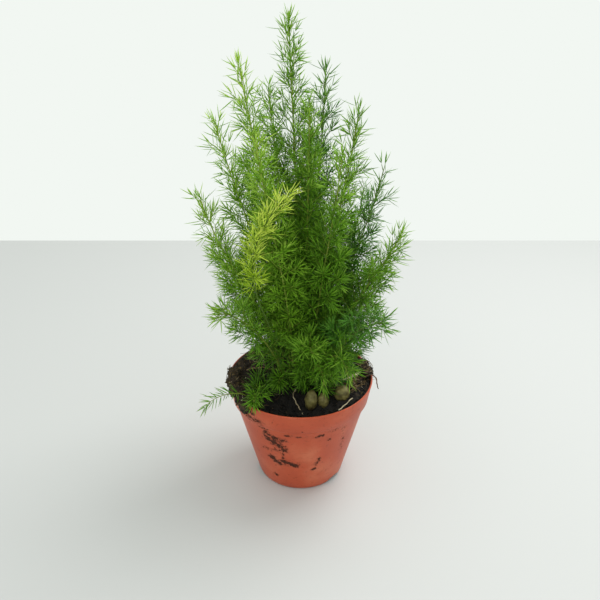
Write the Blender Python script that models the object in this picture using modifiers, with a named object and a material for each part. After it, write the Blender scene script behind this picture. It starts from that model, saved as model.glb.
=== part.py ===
"""A foxtail fern, Asparagus densiflorus, in a 12 cm nursery pot.

The origin is the middle of the pot's underside, +Z is up and -Y is the front. Lengths are in metres.
Each leafy stem, or plume, is one node: a slim stem, its side branches and their needles, joined in one solid.
A plume stands in a plain hole in the soil. Needles and branches are turned aside from the other plumes.
"""

import math
from typing import NamedTuple

import bmesh
import bpy
import numpy as np
from mathutils import Matrix, Vector

# The pot: a thin moulded one with a smooth collar and three wide, shallow drain notches at the foot.
POT_HEIGHT = 0.092
RIM_RADIUS = 0.060
FOOT_RADIUS = 0.0364
COLLAR_HEIGHT = 0.0175
COLLAR_FOOT_RADIUS = 0.0570
COLLAR_LEDGE = 0.0018
WALL = 0.0012
FLOOR = 0.0015
LIP_ROUND = 0.0009
EDGE_ROUND = 0.0006
FOOT_ROUND = 0.0024
NOTCHES = 3
NOTCH_WIDTH = 0.020
NOTCH_HEIGHT = 0.0046
NOTCH_DEPTH = 0.016
FIRST_NOTCH_DEG = -41.0
POT_STEPS = 32

# The crown is where the stems leave the soil.
CROWN = (0.003, 0.006)

# The soil: its mean level below the rim, and the gap that two touching pieces keep.
SOIL_BELOW_RIM = 0.0085
GAP = 0.0003
SOIL_CELLS = 14
SOIL_ROUGH = 0.00035

# Banks of soil: height, the way that each rises in x and y, where along it, and over what width.
BANKS = [
    (0.0075, (-1.0, 0.3), 0.030, 0.007),
    (0.0050, (1.0, 0.0), 0.042, 0.005),
    (0.0040, (0.0, 1.0), 0.020, 0.008),
]

# The hollow at the front and the mound at the crown: height, middle, and spread in x and y.
MOUNDS = [
    (-0.0100, (0.004, -0.047), (0.030, 0.015)),
    (0.0030, CROWN, (0.024, 0.024)),
]

# The plant's stems, branches and needles.
CROWN_SHARE = 0.27
STEM_BURIED = 0.014
HOLE_OVER_SOIL = 0.004
STEM_POINTS = 7
STEM_RADIUS = 0.0011
STEM_TIP_RADIUS = 0.00045
BRANCH_RADIUS = 0.00065
BRANCH_TIP_RADIUS = 0.00045
BRANCH_LEAN_DEG = 78.0
BRANCH_LEAN_FALL_DEG = 40.0
NEEDLE_WIDTH = 0.0010
NEEDLE_LENGTH = 0.0125
NEEDLE_LEAN_DEG = 52.0
NEEDLE_LEAN_FALL_DEG = 9.0
STEM_NEEDLE_LEANS_DEG = (26.0, 38.0, 50.0, 60.0, 60.0, 60.0)
END_NEEDLE_SHARE = 0.85
WHORL_SPACING = 0.0105
GOLDEN_ANGLE = math.pi * (3.0 - math.sqrt(5.0))

# The least gap between lines of two plumes, the turns tried for a branch, and the extra lean and the share of
# the length tried for a needle, until it is clear.
CLEAR = 0.0005
TURNS_TO_TRY = 14
NEEDLE_TRIES = ((0.0, 1.0), (14.0, 1.0), (-14.0, 1.0), (24.0, 1.0), (-24.0, 0.85), (10.0, 0.7), (-10.0, 0.55))
OWNERS_PER_PLUME = 50
SEED = 7

GREEN = (0.045, 0.135, 0.018)
LIGHT_GREEN = (0.115, 0.235, 0.022)
YOUNG_GREEN = (0.270, 0.400, 0.035)
DARK_GREEN = (0.022, 0.085, 0.022)


class Plume(NamedTuple):
    """One leafy stem, from its root in the soil to its tip.

    crest is how far its last bend lies over its tip, rise the share of its height that it climbs straight up,
    sway its bow to a side, reach its longest side branch, bare the share of the stem with no branch,
    stem_whorls the rings of needles on the stem itself, and girth its thickness beside a full-grown stem's.
    """

    name: str
    tip: tuple
    colour: tuple = GREEN
    crest: float = -0.070
    reach: float = 0.030
    branches: int = 8
    sway: tuple = (0.0, 0.0)
    rise: float = 0.40
    bare: float = 0.06
    root: tuple = None
    stem_whorls: int = 3
    girth: float = 1.0


PLUMES = [
    Plume("plume_tall_centre", (-0.008, 0.010, 0.366), branches=10),
    Plume("plume_tall_left", (-0.041, -0.006, 0.339), LIGHT_GREEN, branches=9, bare=0.12),
    Plume("plume_tall_right", (0.018, 0.022, 0.332), DARK_GREEN, branches=9),
    Plume("plume_mid_centre", (0.006, -0.012, 0.316), branches=9, bare=0.12),
    Plume("plume_back_left_tall", (-0.024, 0.036, 0.318), branches=7),
    Plume("plume_right_tall", (0.041, 0.006, 0.309)),
    Plume("plume_left_upper", (-0.062, 0.014, 0.300), LIGHT_GREEN, branches=7, bare=0.14),
    Plume("plume_front_left_column", (-0.030, -0.030, 0.296), LIGHT_GREEN, branches=9, bare=0.14),
    Plume("plume_front_right_column", (0.028, -0.026, 0.284), branches=9),
    Plume("plume_right_upper", (0.062, 0.012, 0.268), DARK_GREEN),
    Plume("plume_left_side", (-0.073, -0.008, 0.250), LIGHT_GREEN, bare=0.14),
    Plume("plume_right_side", (0.073, -0.014, 0.222), crest=-0.040, branches=7),
    Plume("plume_front_left_low", (-0.060, -0.044, 0.172), crest=0.000, branches=7, bare=0.16),
    Plume("plume_front_right_low", (0.060, -0.048, 0.166), DARK_GREEN, crest=0.000, branches=7),
    Plume("plume_front_arch", (0.036, -0.052, 0.120), crest=0.040, reach=0.028, branches=7),
    Plume("plume_front_short", (0.008, -0.042, 0.138), crest=0.010, reach=0.026, branches=6),
    Plume("plume_front_nodding", (0.018, -0.045, 0.109), crest=0.034, reach=0.024, branches=6),
    Plume("plume_young", (-0.006, -0.040, 0.262), YOUNG_GREEN, -0.052, 0.024, sway=(-0.055, -0.012), bare=0.50),
    Plume("plume_back_left", (-0.044, 0.056, 0.262), DARK_GREEN, branches=7),
    Plume("plume_back_centre", (0.008, 0.064, 0.288), branches=7),
    Plume("plume_back_right", (0.052, 0.052, 0.240), DARK_GREEN, branches=7),
    Plume("plume_back_side_left", (-0.072, 0.036, 0.190), crest=-0.020, branches=7),
    Plume("plume_back_low", (-0.006, 0.078, 0.172), crest=0.000, branches=6),
    Plume("plume_back_side_right", (0.070, 0.034, 0.172), crest=-0.010, branches=6),
    Plume(
        "shoot_low_left",
        (-0.036, -0.0475, 0.0965),
        crest=0.008,
        reach=0.013,
        branches=4,
        rise=0.8,
        root=(-0.030, -0.016),
        girth=0.7,
    ),
    Plume(
        "shoot_low_centre",
        (-0.018, -0.026, 0.101),
        crest=0.004,
        reach=0.011,
        branches=3,
        rise=0.8,
        root=(-0.012, -0.010),
        girth=0.7,
    ),
    Plume(
        "shoot_over_rim",
        (-0.0735, -0.0475, 0.0935),
        crest=0.011,
        branches=0,
        rise=1.6,
        bare=0.30,
        root=(-0.042, -0.030),
        stem_whorls=6,
        girth=0.55,
    ),
]

# The tubers that show at the front right: middle, half width, half length, and the lean of the long axis.
TUBERS = {
    "tuber_front": ((0.0083, -0.0300, 0.0870), 0.0050, 0.0088, (0.08, 0.25, 0.95)),
    "tuber_middle": ((0.0180, -0.0275, 0.0845), 0.0045, 0.0070, (-0.10, 0.10, 0.98)),
    "tuber_right": ((0.0335, -0.0215, 0.0878), 0.0062, 0.0070, (0.30, 0.10, 0.95)),
}

# Roots that lie on the soil: points over the soil in x and y, and the root's radius.
ROOTS = {
    "root_brown_left": ([(-0.046, 0.006), (-0.036, 0.011), (-0.024, 0.012), (-0.010, 0.010)], 0.0006),
    "root_pale_front": ([(-0.004, -0.012), (-0.006, -0.020), (-0.003, -0.029), (0.002, -0.037)], 0.0005),
    "root_pale_right": ([(0.030, -0.0365), (0.035, -0.0325), (0.042, -0.0265)], 0.0006),
    "root_tan_right": ([(0.033, 0.000), (0.040, 0.001), (0.047, 0.003), (0.052, 0.007)], 0.0014),
}

# The wiry root that leaves the soil at the right and hangs over the rim, point by point.
HANGING_ROOT = [
    (0.0480, -0.0020, 0.0870),
    (0.0530, -0.0030, 0.0915),
    (0.0575, -0.0035, 0.0937),
    (0.0610, -0.0040, 0.0932),
    (0.0632, -0.0050, 0.0905),
    (0.0638, -0.0062, 0.0860),
    (0.0652, -0.0070, 0.0820),
]
HANGING_ROOT_RADIUS = 0.0006

# Clods of soil and root that lie over the rim: angle from +X in degrees, distance out, height, half sizes.
CLODS = [
    (178.0, 0.0562, 0.0925, (0.0048, 0.0080, 0.0022)),
    (192.0, 0.0568, 0.0925, (0.0052, 0.0080, 0.0024)),
    (206.0, 0.0575, 0.0920, (0.0054, 0.0080, 0.0026)),
    (218.0, 0.0584, 0.0908, (0.0048, 0.0070, 0.0030)),
    (223.0, 0.0604, 0.0880, (0.0026, 0.0058, 0.0046)),
    (6.0, 0.0562, 0.0925, (0.0050, 0.0068, 0.0022)),
    (18.0, 0.0564, 0.0925, (0.0046, 0.0060, 0.0020)),
]
CLOD_ROUGH = 0.10


def clear_scene():
    """Removes every object that the file starts with."""
    for obj in list(bpy.data.objects):
        bpy.data.objects.remove(obj, do_unlink=True)


def new_collection(name):
    """A collection linked to the scene."""
    collection = bpy.data.collections.new(name)
    bpy.context.scene.collection.children.link(collection)
    return collection


def principled(name, colour, roughness):
    """A plain Principled material."""
    material = bpy.data.materials.new(name)
    material.use_nodes = True
    shader = material.node_tree.nodes["Principled BSDF"]
    shader.inputs["Base Color"].default_value = (*colour, 1.0)
    shader.inputs["Roughness"].default_value = roughness
    shader.inputs["Metallic"].default_value = 0.0
    return material


def add_object(name, mesh, collection, material=None):
    """An object for this mesh, in this collection."""
    obj = bpy.data.objects.new(name, mesh)
    collection.objects.link(obj)
    if material:
        mesh.materials.clear()
        mesh.materials.append(material)
    return obj


def as_helper(obj):
    """Marks a cutter or another helper, which isn't part of the model."""
    obj.hide_render = True
    obj.display_type = "WIRE"
    return obj


def mesh_from(build, name):
    """A mesh made by a function that fills a bmesh."""
    shape = bmesh.new()
    build(shape)
    mesh = bpy.data.meshes.new(name)
    shape.to_mesh(mesh)
    shape.free()
    return mesh


def evaluated_mesh(obj, name):
    """The mesh that an object's modifiers or curve settings give, with its seams welded."""
    graph = bpy.context.evaluated_depsgraph_get()
    mesh = bpy.data.meshes.new_from_object(obj.evaluated_get(graph))
    mesh.name = name
    shape = bmesh.new()
    shape.from_mesh(mesh)
    bmesh.ops.remove_doubles(shape, verts=shape.verts, dist=1e-6)
    shape.to_mesh(mesh)
    shape.free()
    return mesh


def tube(name, points, radii, collection, material=None, sides=4):
    """A tube through these points, closed at both ends, as a mesh object."""
    curve = bpy.data.curves.new(name, "CURVE")
    curve.dimensions = "3D"
    curve.bevel_depth = 1.0
    curve.bevel_resolution = (sides - 4) // 2
    curve.use_fill_caps = True
    spline = curve.splines.new("POLY")
    spline.points.add(len(points) - 1)
    for place, (point, radius) in enumerate(zip(points, radii)):
        spline.points[place].co = (*point, 1.0)
        spline.points[place].radius = radius
    guide = bpy.data.objects.new(name + "_line", curve)
    collection.objects.link(guide)
    bpy.context.view_layer.update()
    obj = add_object(name, evaluated_mesh(guide, name), collection, material)
    obj.matrix_world = guide.matrix_world
    bpy.data.objects.remove(guide, do_unlink=True)
    bpy.data.curves.remove(curve)
    return obj


def turned(name, profile, steps, collection, material=None):
    """A solid of revolution about Z. The profile's points run from the top axis point down the outside."""
    mesh = bpy.data.meshes.new(name)
    edges = [(i, i + 1) for i in range(len(profile) - 1)]
    mesh.from_pydata([(r, 0.0, z) for r, z in profile], edges, [])
    obj = add_object(name, mesh, collection)
    screw = obj.modifiers.new("turn", "SCREW")
    screw.steps = steps
    screw.render_steps = steps
    screw.use_merge_vertices = True
    screw.merge_threshold = 0.00001
    bpy.context.view_layer.update()
    whole = evaluated_mesh(obj, name)
    obj.modifiers.clear()
    obj.data = whole
    if material:
        whole.materials.append(material)
    return obj


def apply_boolean(obj, operation, others, collection, solver="EXACT"):
    """Joins or cuts obj with a list of objects in one Boolean, applies it and removes them."""
    group = bpy.data.collections.new("operands")
    collection.children.link(group)
    for other in others:
        for holder in list(other.users_collection):
            holder.objects.unlink(other)
        group.objects.link(other)
        as_helper(other)
    boolean = obj.modifiers.new("boolean", "BOOLEAN")
    boolean.operation = operation
    boolean.operand_type = "COLLECTION"
    boolean.collection = group
    boolean.solver = solver
    bpy.context.view_layer.update()
    result = evaluated_mesh(obj, obj.name)
    obj.modifiers.clear()
    obj.data = result
    for other in others:
        bpy.data.objects.remove(other, do_unlink=True)
    bpy.data.collections.remove(group)


def keep_largest_body(obj):
    """Drops loose scraps and the skins of sealed hollows, which fusing can leave."""
    shape = bmesh.new()
    shape.from_mesh(obj.data)
    bmesh.ops.triangulate(shape, faces=shape.faces[:])
    left = set(shape.faces)
    bodies = []
    while left:
        body = {left.pop()}
        search = list(body)
        while search:
            for edge in search.pop().edges:
                for face in edge.link_faces:
                    if face in left and len(edge.link_faces) == 2:
                        left.discard(face)
                        body.add(face)
                        search.append(face)
        bodies.append(body)
    bodies.sort(key=len)
    dropped = [face for body in bodies[:-1] for face in body]
    bmesh.ops.delete(shape, geom=dropped, context="FACES")
    shape.to_mesh(obj.data)
    shape.free()


def wall_radius(z):
    """The pot's outer radius at a height: a straight cone with the collar standing out above it."""
    step = POT_HEIGHT - COLLAR_HEIGHT
    if z >= step:
        return COLLAR_FOOT_RADIUS + (RIM_RADIUS - COLLAR_FOOT_RADIUS) * (z - step) / COLLAR_HEIGHT
    return FOOT_RADIUS + (COLLAR_FOOT_RADIUS - COLLAR_LEDGE - FOOT_RADIUS) * z / step


def inner_profile(inset):
    """Points up the inside of the pot from its floor to its rim, moved in by inset."""
    step = POT_HEIGHT - COLLAR_HEIGHT
    away = WALL + inset
    return [
        (wall_radius(FLOOR) - away, FLOOR + inset),
        (COLLAR_FOOT_RADIUS - COLLAR_LEDGE - away, step + WALL),
        (COLLAR_FOOT_RADIUS - away, step + 2.0 * WALL),
        (RIM_RADIUS - WALL - LIP_ROUND / 2.0 - inset, POT_HEIGHT - LIP_ROUND),
    ]


def notch_cutter(angle, helpers):
    """A rod along a radius of the pot, so low that it cuts a wide and shallow arc out of the foot."""
    radius = (NOTCH_WIDTH**2 / 4.0 + NOTCH_HEIGHT**2) / (2.0 * NOTCH_HEIGHT)
    out = Vector((math.cos(angle), math.sin(angle), 0.0))

    def build(shape):
        bmesh.ops.create_cone(
            shape, cap_ends=True, segments=48, radius1=radius, radius2=radius, depth=NOTCH_DEPTH
        )

    cutter = add_object("notch", mesh_from(build, "notch"), helpers)
    cutter.rotation_mode = "QUATERNION"
    cutter.rotation_quaternion = out.to_track_quat("Z", "Y")
    cutter.location = out * (FOOT_RADIUS + COLLAR_LEDGE) + Vector((0.0, 0.0, NOTCH_HEIGHT - radius))
    return cutter


def make_pot(parts, helpers, material):
    """The pot: a turned shell with a collar, cut by its drain notches."""
    step = POT_HEIGHT - COLLAR_HEIGHT
    outside = [
        (RIM_RADIUS - LIP_ROUND, POT_HEIGHT),
        (RIM_RADIUS, POT_HEIGHT - LIP_ROUND),
        (COLLAR_FOOT_RADIUS, step + EDGE_ROUND),
        (wall_radius(step - 2.0 * EDGE_ROUND), step - 2.0 * EDGE_ROUND),
        (wall_radius(FOOT_ROUND), FOOT_ROUND),
        (FOOT_RADIUS - EDGE_ROUND, EDGE_ROUND),
        (FOOT_RADIUS - FOOT_ROUND, 0.0),
        (0.0, 0.0),
    ]
    pot = turned("pot", [(0.0, FLOOR), *inner_profile(0.0), *outside], POT_STEPS, parts, material)
    angles = [math.radians(FIRST_NOTCH_DEG + 360.0 / NOTCHES * place) for place in range(NOTCHES)]
    apply_boolean(pot, "DIFFERENCE", [notch_cutter(angle, helpers) for angle in angles], helpers)
    pot.data.shade_smooth()
    pot.data.set_sharp_from_angle(angle=math.radians(35.0))


def soil_height(x, y):
    """The soil's surface: a mean level with its banks, its hollow, its mound and a fine unevenness."""
    height = POT_HEIGHT - SOIL_BELOW_RIM
    for rise, way, edge, width in BANKS:
        height += rise / (1.0 + math.exp((edge - way[0] * x - way[1] * y) / width))
    for rise, middle, spread in MOUNDS:
        height += rise * math.exp(-(((x - middle[0]) / spread[0]) ** 2) - ((y - middle[1]) / spread[1]) ** 2)
    rough = math.sin(430.0 * x + 1.3) * math.cos(390.0 * y) + math.sin(760.0 * x - 510.0 * y)
    return height + SOIL_ROUGH * rough


def make_ground(helpers):
    """A block whose top is the soil's surface. It is a little wider than the pot, and reaches below it."""

    def build(shape):
        bmesh.ops.create_grid(shape, x_segments=SOIL_CELLS, y_segments=SOIL_CELLS, size=1.1 * RIM_RADIUS)
        for vertex in shape.verts:
            vertex.co.z = soil_height(vertex.co.x, vertex.co.y)
        below = bmesh.ops.extrude_face_region(shape, geom=shape.faces[:])["geom"]
        for vertex in (piece for piece in below if isinstance(piece, bmesh.types.BMVert)):
            vertex.co.z = -STEM_BURIED
        bmesh.ops.triangulate(shape, faces=shape.faces[:])
        bmesh.ops.recalc_face_normals(shape, faces=shape.faces[:])

    return add_object("ground", mesh_from(build, "ground"), helpers)


def make_clods(helpers):
    """The clods, as roughened balls drawn out to their half sizes."""
    clods = []
    for angle, out, height, halves in CLODS:
        mesh = mesh_from(lambda shape: bmesh.ops.create_icosphere(shape, subdivisions=1, radius=1.0), "clod")
        turn = math.radians(angle)
        for vertex in mesh.vertices:
            lump = 1.0 + CLOD_ROUGH * math.sin(5.0 * vertex.co.x + angle) * math.cos(4.0 * vertex.co.y - turn)
            vertex.co = Vector(vertex.co[i] * halves[i] * lump for i in range(3))
        clod = add_object("clod", mesh, helpers)
        clod.rotation_euler = (0.0, 0.0, turn)
        clod.location = (out * math.cos(turn), out * math.sin(turn), height)
        clods.append(clod)
    return clods


def make_soil(parts, helpers, material, cutters):
    """The soil: what fills the pot, under an uneven top, with clods over the rim and a hole for each piece in it."""
    inside = inner_profile(GAP)
    top = 1.3 * POT_HEIGHT
    profile = [(0.0, top), (inside[-1][0], top), *inside[::-1], (0.0, FLOOR + GAP)]
    soil = turned("soil", profile, POT_STEPS, parts, material)
    apply_boolean(soil, "INTERSECT", [make_ground(helpers)], helpers)
    apply_boolean(soil, "UNION", make_clods(helpers), helpers)
    clearance = [
        (RIM_RADIUS - LIP_ROUND, POT_HEIGHT + GAP),
        (RIM_RADIUS + GAP, POT_HEIGHT - LIP_ROUND),
        (COLLAR_FOOT_RADIUS + GAP, POT_HEIGHT - COLLAR_HEIGHT),
        (COLLAR_FOOT_RADIUS - WALL - GAP, POT_HEIGHT - COLLAR_HEIGHT),
        (RIM_RADIUS - WALL - LIP_ROUND / 2.0 - GAP, POT_HEIGHT - LIP_ROUND),
        (RIM_RADIUS - LIP_ROUND, POT_HEIGHT + GAP),
    ]
    ring = turned("rim_clearance", clearance, POT_STEPS, helpers)
    apply_boolean(soil, "DIFFERENCE", [ring, *cutters], helpers)
    keep_largest_body(soil)


def ellipsoid(name, middle, half_width, half_length, lean, collection, extra=0.0, material=None):
    """A tuber's form: a ball drawn out along one axis and a little pointed at its ends."""

    def build(shape):
        bmesh.ops.create_uvsphere(shape, u_segments=12, v_segments=8, radius=1.0)
        for vertex in shape.verts:
            pointed = 1.0 - 0.14 * vertex.co.z**4
            vertex.co.x *= (half_width + extra) * pointed
            vertex.co.y *= (half_width + extra) * pointed
            vertex.co.z *= half_length + extra

    obj = add_object(name, mesh_from(build, name), collection, material)
    obj.rotation_mode = "QUATERNION"
    obj.rotation_quaternion = Vector(lean).to_track_quat("Z", "Y")
    obj.location = middle
    return obj


def smooth_route(points, count):
    """Points evenly placed along a smooth curve through the given ones."""
    points = np.array(points, float)
    before = 2 * points[0] - points[1]
    after = 2 * points[-1] - points[-2]
    knots = np.vstack([before, points, after])
    spans = len(points) - 1
    route = []
    for place in np.linspace(0.0, spans, count):
        span = min(int(place), spans - 1)
        t = place - span
        a, b, c, d = knots[span : span + 4]
        route.append(
            0.5 * (2 * b + (c - a) * t + (2 * a - 5 * b + 4 * c - d) * t**2 + (3 * b - a - 3 * c + d) * t**3)
        )
    return np.array(route)


def root_route(points, radius):
    """A root's line: over the soil, half sunk in it, with both ends dipping in."""
    flat = smooth_route([(*point, 0.0) for point in points], 2 * len(points))
    for place, point in enumerate(flat):
        end = min(place, len(flat) - 1 - place)
        point[2] = soil_height(point[0], point[1]) + radius * (0.35, 0.8)[end > 0]
    return flat


def stem_route(plume):
    """Points along a plume's stem, from its hole in the soil to its tip, on one bent curve."""
    tip = np.array(plume.tip)
    crown = np.array(CROWN)
    foot = np.array(plume.root) if plume.root else crown + CROWN_SHARE * (tip[:2] - crown)
    low = np.array([*foot, soil_height(*foot)])
    sway = np.array([*plume.sway, 0.0])
    second = low + (0.0, 0.0, plume.rise * (tip[2] - low[2])) + 0.5 * sway
    inward = 0.30 * (tip[:2] - foot)
    third = np.array([*(tip[:2] - inward), tip[2] + plume.crest]) + sway
    t = np.linspace(0.0, 1.0, STEM_POINTS)[:, None]
    u = 1.0 - t
    return u**3 * low + 3 * u**2 * t * second + 3 * u * t**2 * third + t**3 * tip


class Clearances:
    """The lines already placed, with their radii and owners, and how near another line may come to them."""

    def __init__(self):
        self.starts = np.zeros((0, 3))
        self.ends = np.zeros((0, 3))
        self.radii = np.zeros(0)
        self.owners = np.zeros(0, int)

    def add(self, starts, ends, radii, owner):
        """Adds several lines of one owner."""
        self.starts = np.vstack([self.starts, starts])
        self.ends = np.vstack([self.ends, ends])
        self.radii = np.concatenate([self.radii, radii])
        self.owners = np.concatenate([self.owners, np.full(len(radii), owner)])

    def is_clear(self, start, end, radius, own):
        """True if this line is clear of the soil, the pot, the tubers and every line but those of its own owners."""
        others = ~np.isin(self.owners, own)
        if others.any():
            gaps = line_distances(start, end, self.starts[others], self.ends[others])
            if (gaps < self.radii[others] + radius + CLEAR).any():
                return False
        return all(point_is_clear(start + (end - start) * share, radius) for share in (0.35, 0.55, 0.78, 1.0))


def line_distances(start, end, starts, ends):
    """The least distance from one line to each of many, between their nearest points."""
    first = end - start
    others = ends - starts
    between = start - starts
    a = first @ first
    e = np.einsum("ij,ij->i", others, others)
    b = others @ first
    c = between @ first
    f = np.einsum("ij,ij->i", others, between)
    spread = np.maximum(a * e - b * b, 1e-18)
    s = np.clip((b * f - c * e) / spread, 0.0, 1.0)
    t = (b * s + f) / np.maximum(e, 1e-18)
    t = np.clip(t, 0.0, 1.0)
    s = np.clip((b * t - c) / max(a, 1e-18), 0.0, 1.0)
    apart = between + s[:, None] * first - t[:, None] * others
    return np.linalg.norm(apart, axis=1)


def point_is_clear(point, radius):
    """True if a point of a needle is outside the soil, the pot's wall and rim, the clods and the tubers."""
    x, y, z = point
    out = math.hypot(x, y)
    margin = radius + CLEAR + GAP
    wall = wall_radius(min(max(z, 0.0), POT_HEIGHT)) - 2.0 * WALL - margin
    if out < RIM_RADIUS and z < soil_height(x, y) + margin:
        return False
    if z < POT_HEIGHT + margin and wall < out < RIM_RADIUS + margin:
        return False
    for angle, away, height, halves in CLODS:
        turn = math.radians(angle)
        dx, dy = x - away * math.cos(turn), y - away * math.sin(turn)
        offset = (dx * math.cos(turn) + dy * math.sin(turn), dy * math.cos(turn) - dx * math.sin(turn), z - height)
        sizes = [half * (1.0 + CLOD_ROUGH) + margin for half in halves]
        if sum((way / size) ** 2 for way, size in zip(offset, sizes)) < 1.0:
            return False
    return all(
        np.linalg.norm(np.array(point) - middle) > half_length + margin
        for middle, _, half_length, _ in TUBERS.values()
    )


def side_direction(axis, turn, lean):
    """A direction that leans away from an axis by one angle and is turned round it by another."""
    axis = Vector(axis).normalized()
    across = axis.cross(Vector((0.31, 0.17, 0.93))).normalized()
    other = axis.cross(across)
    side = math.cos(turn) * across + math.sin(turn) * other
    return np.array(math.cos(lean) * axis + math.sin(lean) * side)


def branch_length(plume, share):
    """A side branch's length by its place on the stem: longest a third of the way up, short at the tip."""
    swell = min(1.0, 0.55 + 1.5 * (share - plume.bare))
    return plume.reach * swell * (1.08 - share) ** 0.6


def point_on(stem, share):
    """The point at this share of the stem's length, and the stem's direction there."""
    at = share * (len(stem) - 1)
    low = min(int(at), len(stem) - 2)
    axis = stem[low + 1] - stem[low]
    return stem[low] + axis * (at - low), axis


def raise_needle(shape, face, spot, axis, lean, length, is_clear, place=Matrix()):
    """Draws one face of a branch or stem out to a needle's point, if there is room for it.

    The needle leans away from the axis, on the side of the spot on the axis where the face is. place takes the
    shape's own coordinates to the part's. The point of an end face goes straight on along the axis.
    """
    middle = face.calc_center_median()
    out = middle - spot
    out -= axis * out.dot(axis)
    for more, share in NEEDLE_TRIES:
        angle = math.radians(lean + more) if out.length > 1e-5 else math.radians(0.3 * more)
        side = out.normalized() if out.length > 1e-5 else axis.orthogonal().normalized()
        point = middle + (math.cos(angle) * axis + math.sin(angle) * side) * length * share
        if is_clear(np.array(place @ middle), np.array(place @ point)):
            poked = bmesh.ops.poke(shape, faces=[face])
            poked["verts"][0].co = point
            return


class Growth:
    """What grows on one plume's stem: its side branches, as meshes to be joined to it, and its needles."""

    def __init__(self, plume, stem, owner, placed, draws):
        self.plume = plume
        self.stem = stem
        self.owner = owner
        self.placed = placed
        self.draws = draws

    def needle_test(self, own):
        """A test for needles of these owners, which also notes each needle that it passes."""

        def is_clear(root, point):
            if not self.placed.is_clear(root, point, NEEDLE_WIDTH / 2.0, own):
                return False
            self.placed.add([root], [point], [NEEDLE_WIDTH / 2.0], own[0])
            return True

        return is_clear

    def branches(self):
        """Places for the side branches, in a spiral up the stem, each turned until it is clear."""
        plume = self.plume
        for number in range(plume.branches):
            share = plume.bare + (0.96 - plume.bare) * (number + 0.5) / plume.branches
            start, axis = point_on(self.stem, share)
            lean = math.radians(BRANCH_LEAN_DEG - BRANCH_LEAN_FALL_DEG * share**0.7)
            length = branch_length(plume, share) * self.draws.uniform(0.88, 1.08)
            own = self.owner + 1 + number
            for attempt in range(TURNS_TO_TRY):
                turn = GOLDEN_ANGLE * number + self.owner + 0.45 * attempt * (-1) ** attempt
                ahead = side_direction(axis, turn, lean)
                end = start + ahead * length
                if self.placed.is_clear(start, end, BRANCH_RADIUS, [own, self.owner]):
                    self.placed.add([start], [end], [BRANCH_RADIUS], own)
                    yield Vector(start), Vector(end), own
                    break

    def branch_mesh(self, start, end, own):
        """A three-sided branch with a ring of needles at each whorl, raised from its faces."""
        ahead = end - start
        length = ahead.length
        whorls = max(2, round(length / WHORL_SPACING))
        levels = [length * (0.40 + 0.60 * place / (whorls - 1)) for place in range(whorls)]
        place = Matrix.Translation(start) @ ahead.to_track_quat("Z", "Y").to_matrix().to_4x4()
        place @= Matrix.Rotation(self.draws.uniform(0.0, 2.0), 4, "Z")
        up = Vector((0.0, 0.0, 1.0))
        is_clear = self.needle_test([own])

        def build(shape):
            bmesh.ops.create_cone(
                shape,
                cap_ends=True,
                segments=3,
                radius1=BRANCH_RADIUS,
                radius2=BRANCH_TIP_RADIUS,
                depth=length,
                matrix=Matrix.Translation((0.0, 0.0, length / 2.0)),
            )
            for level in levels:
                for height in (level - NEEDLE_WIDTH, level):
                    if height < length - 1e-6:
                        everything = [*shape.verts, *shape.edges, *shape.faces]
                        bmesh.ops.bisect_plane(shape, geom=everything, plane_co=(0.0, 0.0, height), plane_no=up)
            for number, level in enumerate(levels):
                spot = Vector((0.0, 0.0, level - NEEDLE_WIDTH / 2.0))
                near = [f for f in shape.faces if abs(f.calc_center_median().z - spot.z) < NEEDLE_WIDTH / 4.0]
                needle_lean = NEEDLE_LEAN_DEG - NEEDLE_LEAN_FALL_DEG * number
                for face in near:
                    raise_needle(shape, face, spot, up, needle_lean, NEEDLE_LENGTH, is_clear, place)
            top = max(shape.faces, key=lambda face: face.normal.z * (face.calc_center_median().z > length - 1e-5))
            end = Vector((0.0, 0.0, length))
            raise_needle(shape, top, end, up, 0.0, END_NEEDLE_SHARE * NEEDLE_LENGTH, is_clear, place)
            bmesh.ops.transform(shape, matrix=place, verts=shape.verts)

        return mesh_from(build, "branch")

    def stem_shares(self):
        """Where the stem's own whorls of needles are: close together at its tip."""
        plume = self.plume
        steps = np.arange(plume.stem_whorls) / max(plume.stem_whorls, 1)
        return 1.0 - 0.012 - (1.0 - plume.bare) * 0.8 * steps**1.4

    def stem_points(self):
        """The stem's points, with two more for each of its whorls, from the foot up."""
        total = np.linalg.norm(np.diff(self.stem, axis=0), axis=1).sum()
        half = 0.5 * NEEDLE_WIDTH / total
        shares = [*np.linspace(0.0, 1.0, len(self.stem))]
        for whorl in self.stem_shares():
            shares = [share for share in shares if abs(share - whorl) > 3.0 * half or share == 1.0]
            shares += [whorl - half, whorl + half]
        return np.array(sorted(shares))

    def add_stem_needles(self, obj):
        """Raises the stem's own needles from its faces, whorl by whorl, with one at its tip."""
        shape = bmesh.new()
        shape.from_mesh(obj.data)
        is_clear = self.needle_test([self.owner])
        for number, share in enumerate(self.stem_shares()):
            spot, axis = point_on(self.stem, share)
            spot, axis = Vector(spot), Vector(axis).normalized()
            near = [f for f in shape.faces if (f.calc_center_median() - spot).length < 0.9 * STEM_RADIUS]
            near = [f for f in near if abs((f.calc_center_median() - spot).dot(axis)) < NEEDLE_WIDTH / 4.0]
            for face in near:
                raise_needle(shape, face, spot, axis, STEM_NEEDLE_LEANS_DEG[number], NEEDLE_LENGTH, is_clear)
        tip = Vector(self.stem[-1])
        axis = Vector(self.stem[-1] - self.stem[-2]).normalized()
        top = min(shape.faces, key=lambda face: (face.calc_center_median() - tip).length)
        raise_needle(shape, top, tip, axis, 0.0, END_NEEDLE_SHARE * NEEDLE_LENGTH, is_clear)
        shape.to_mesh(obj.data)
        shape.free()


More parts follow.
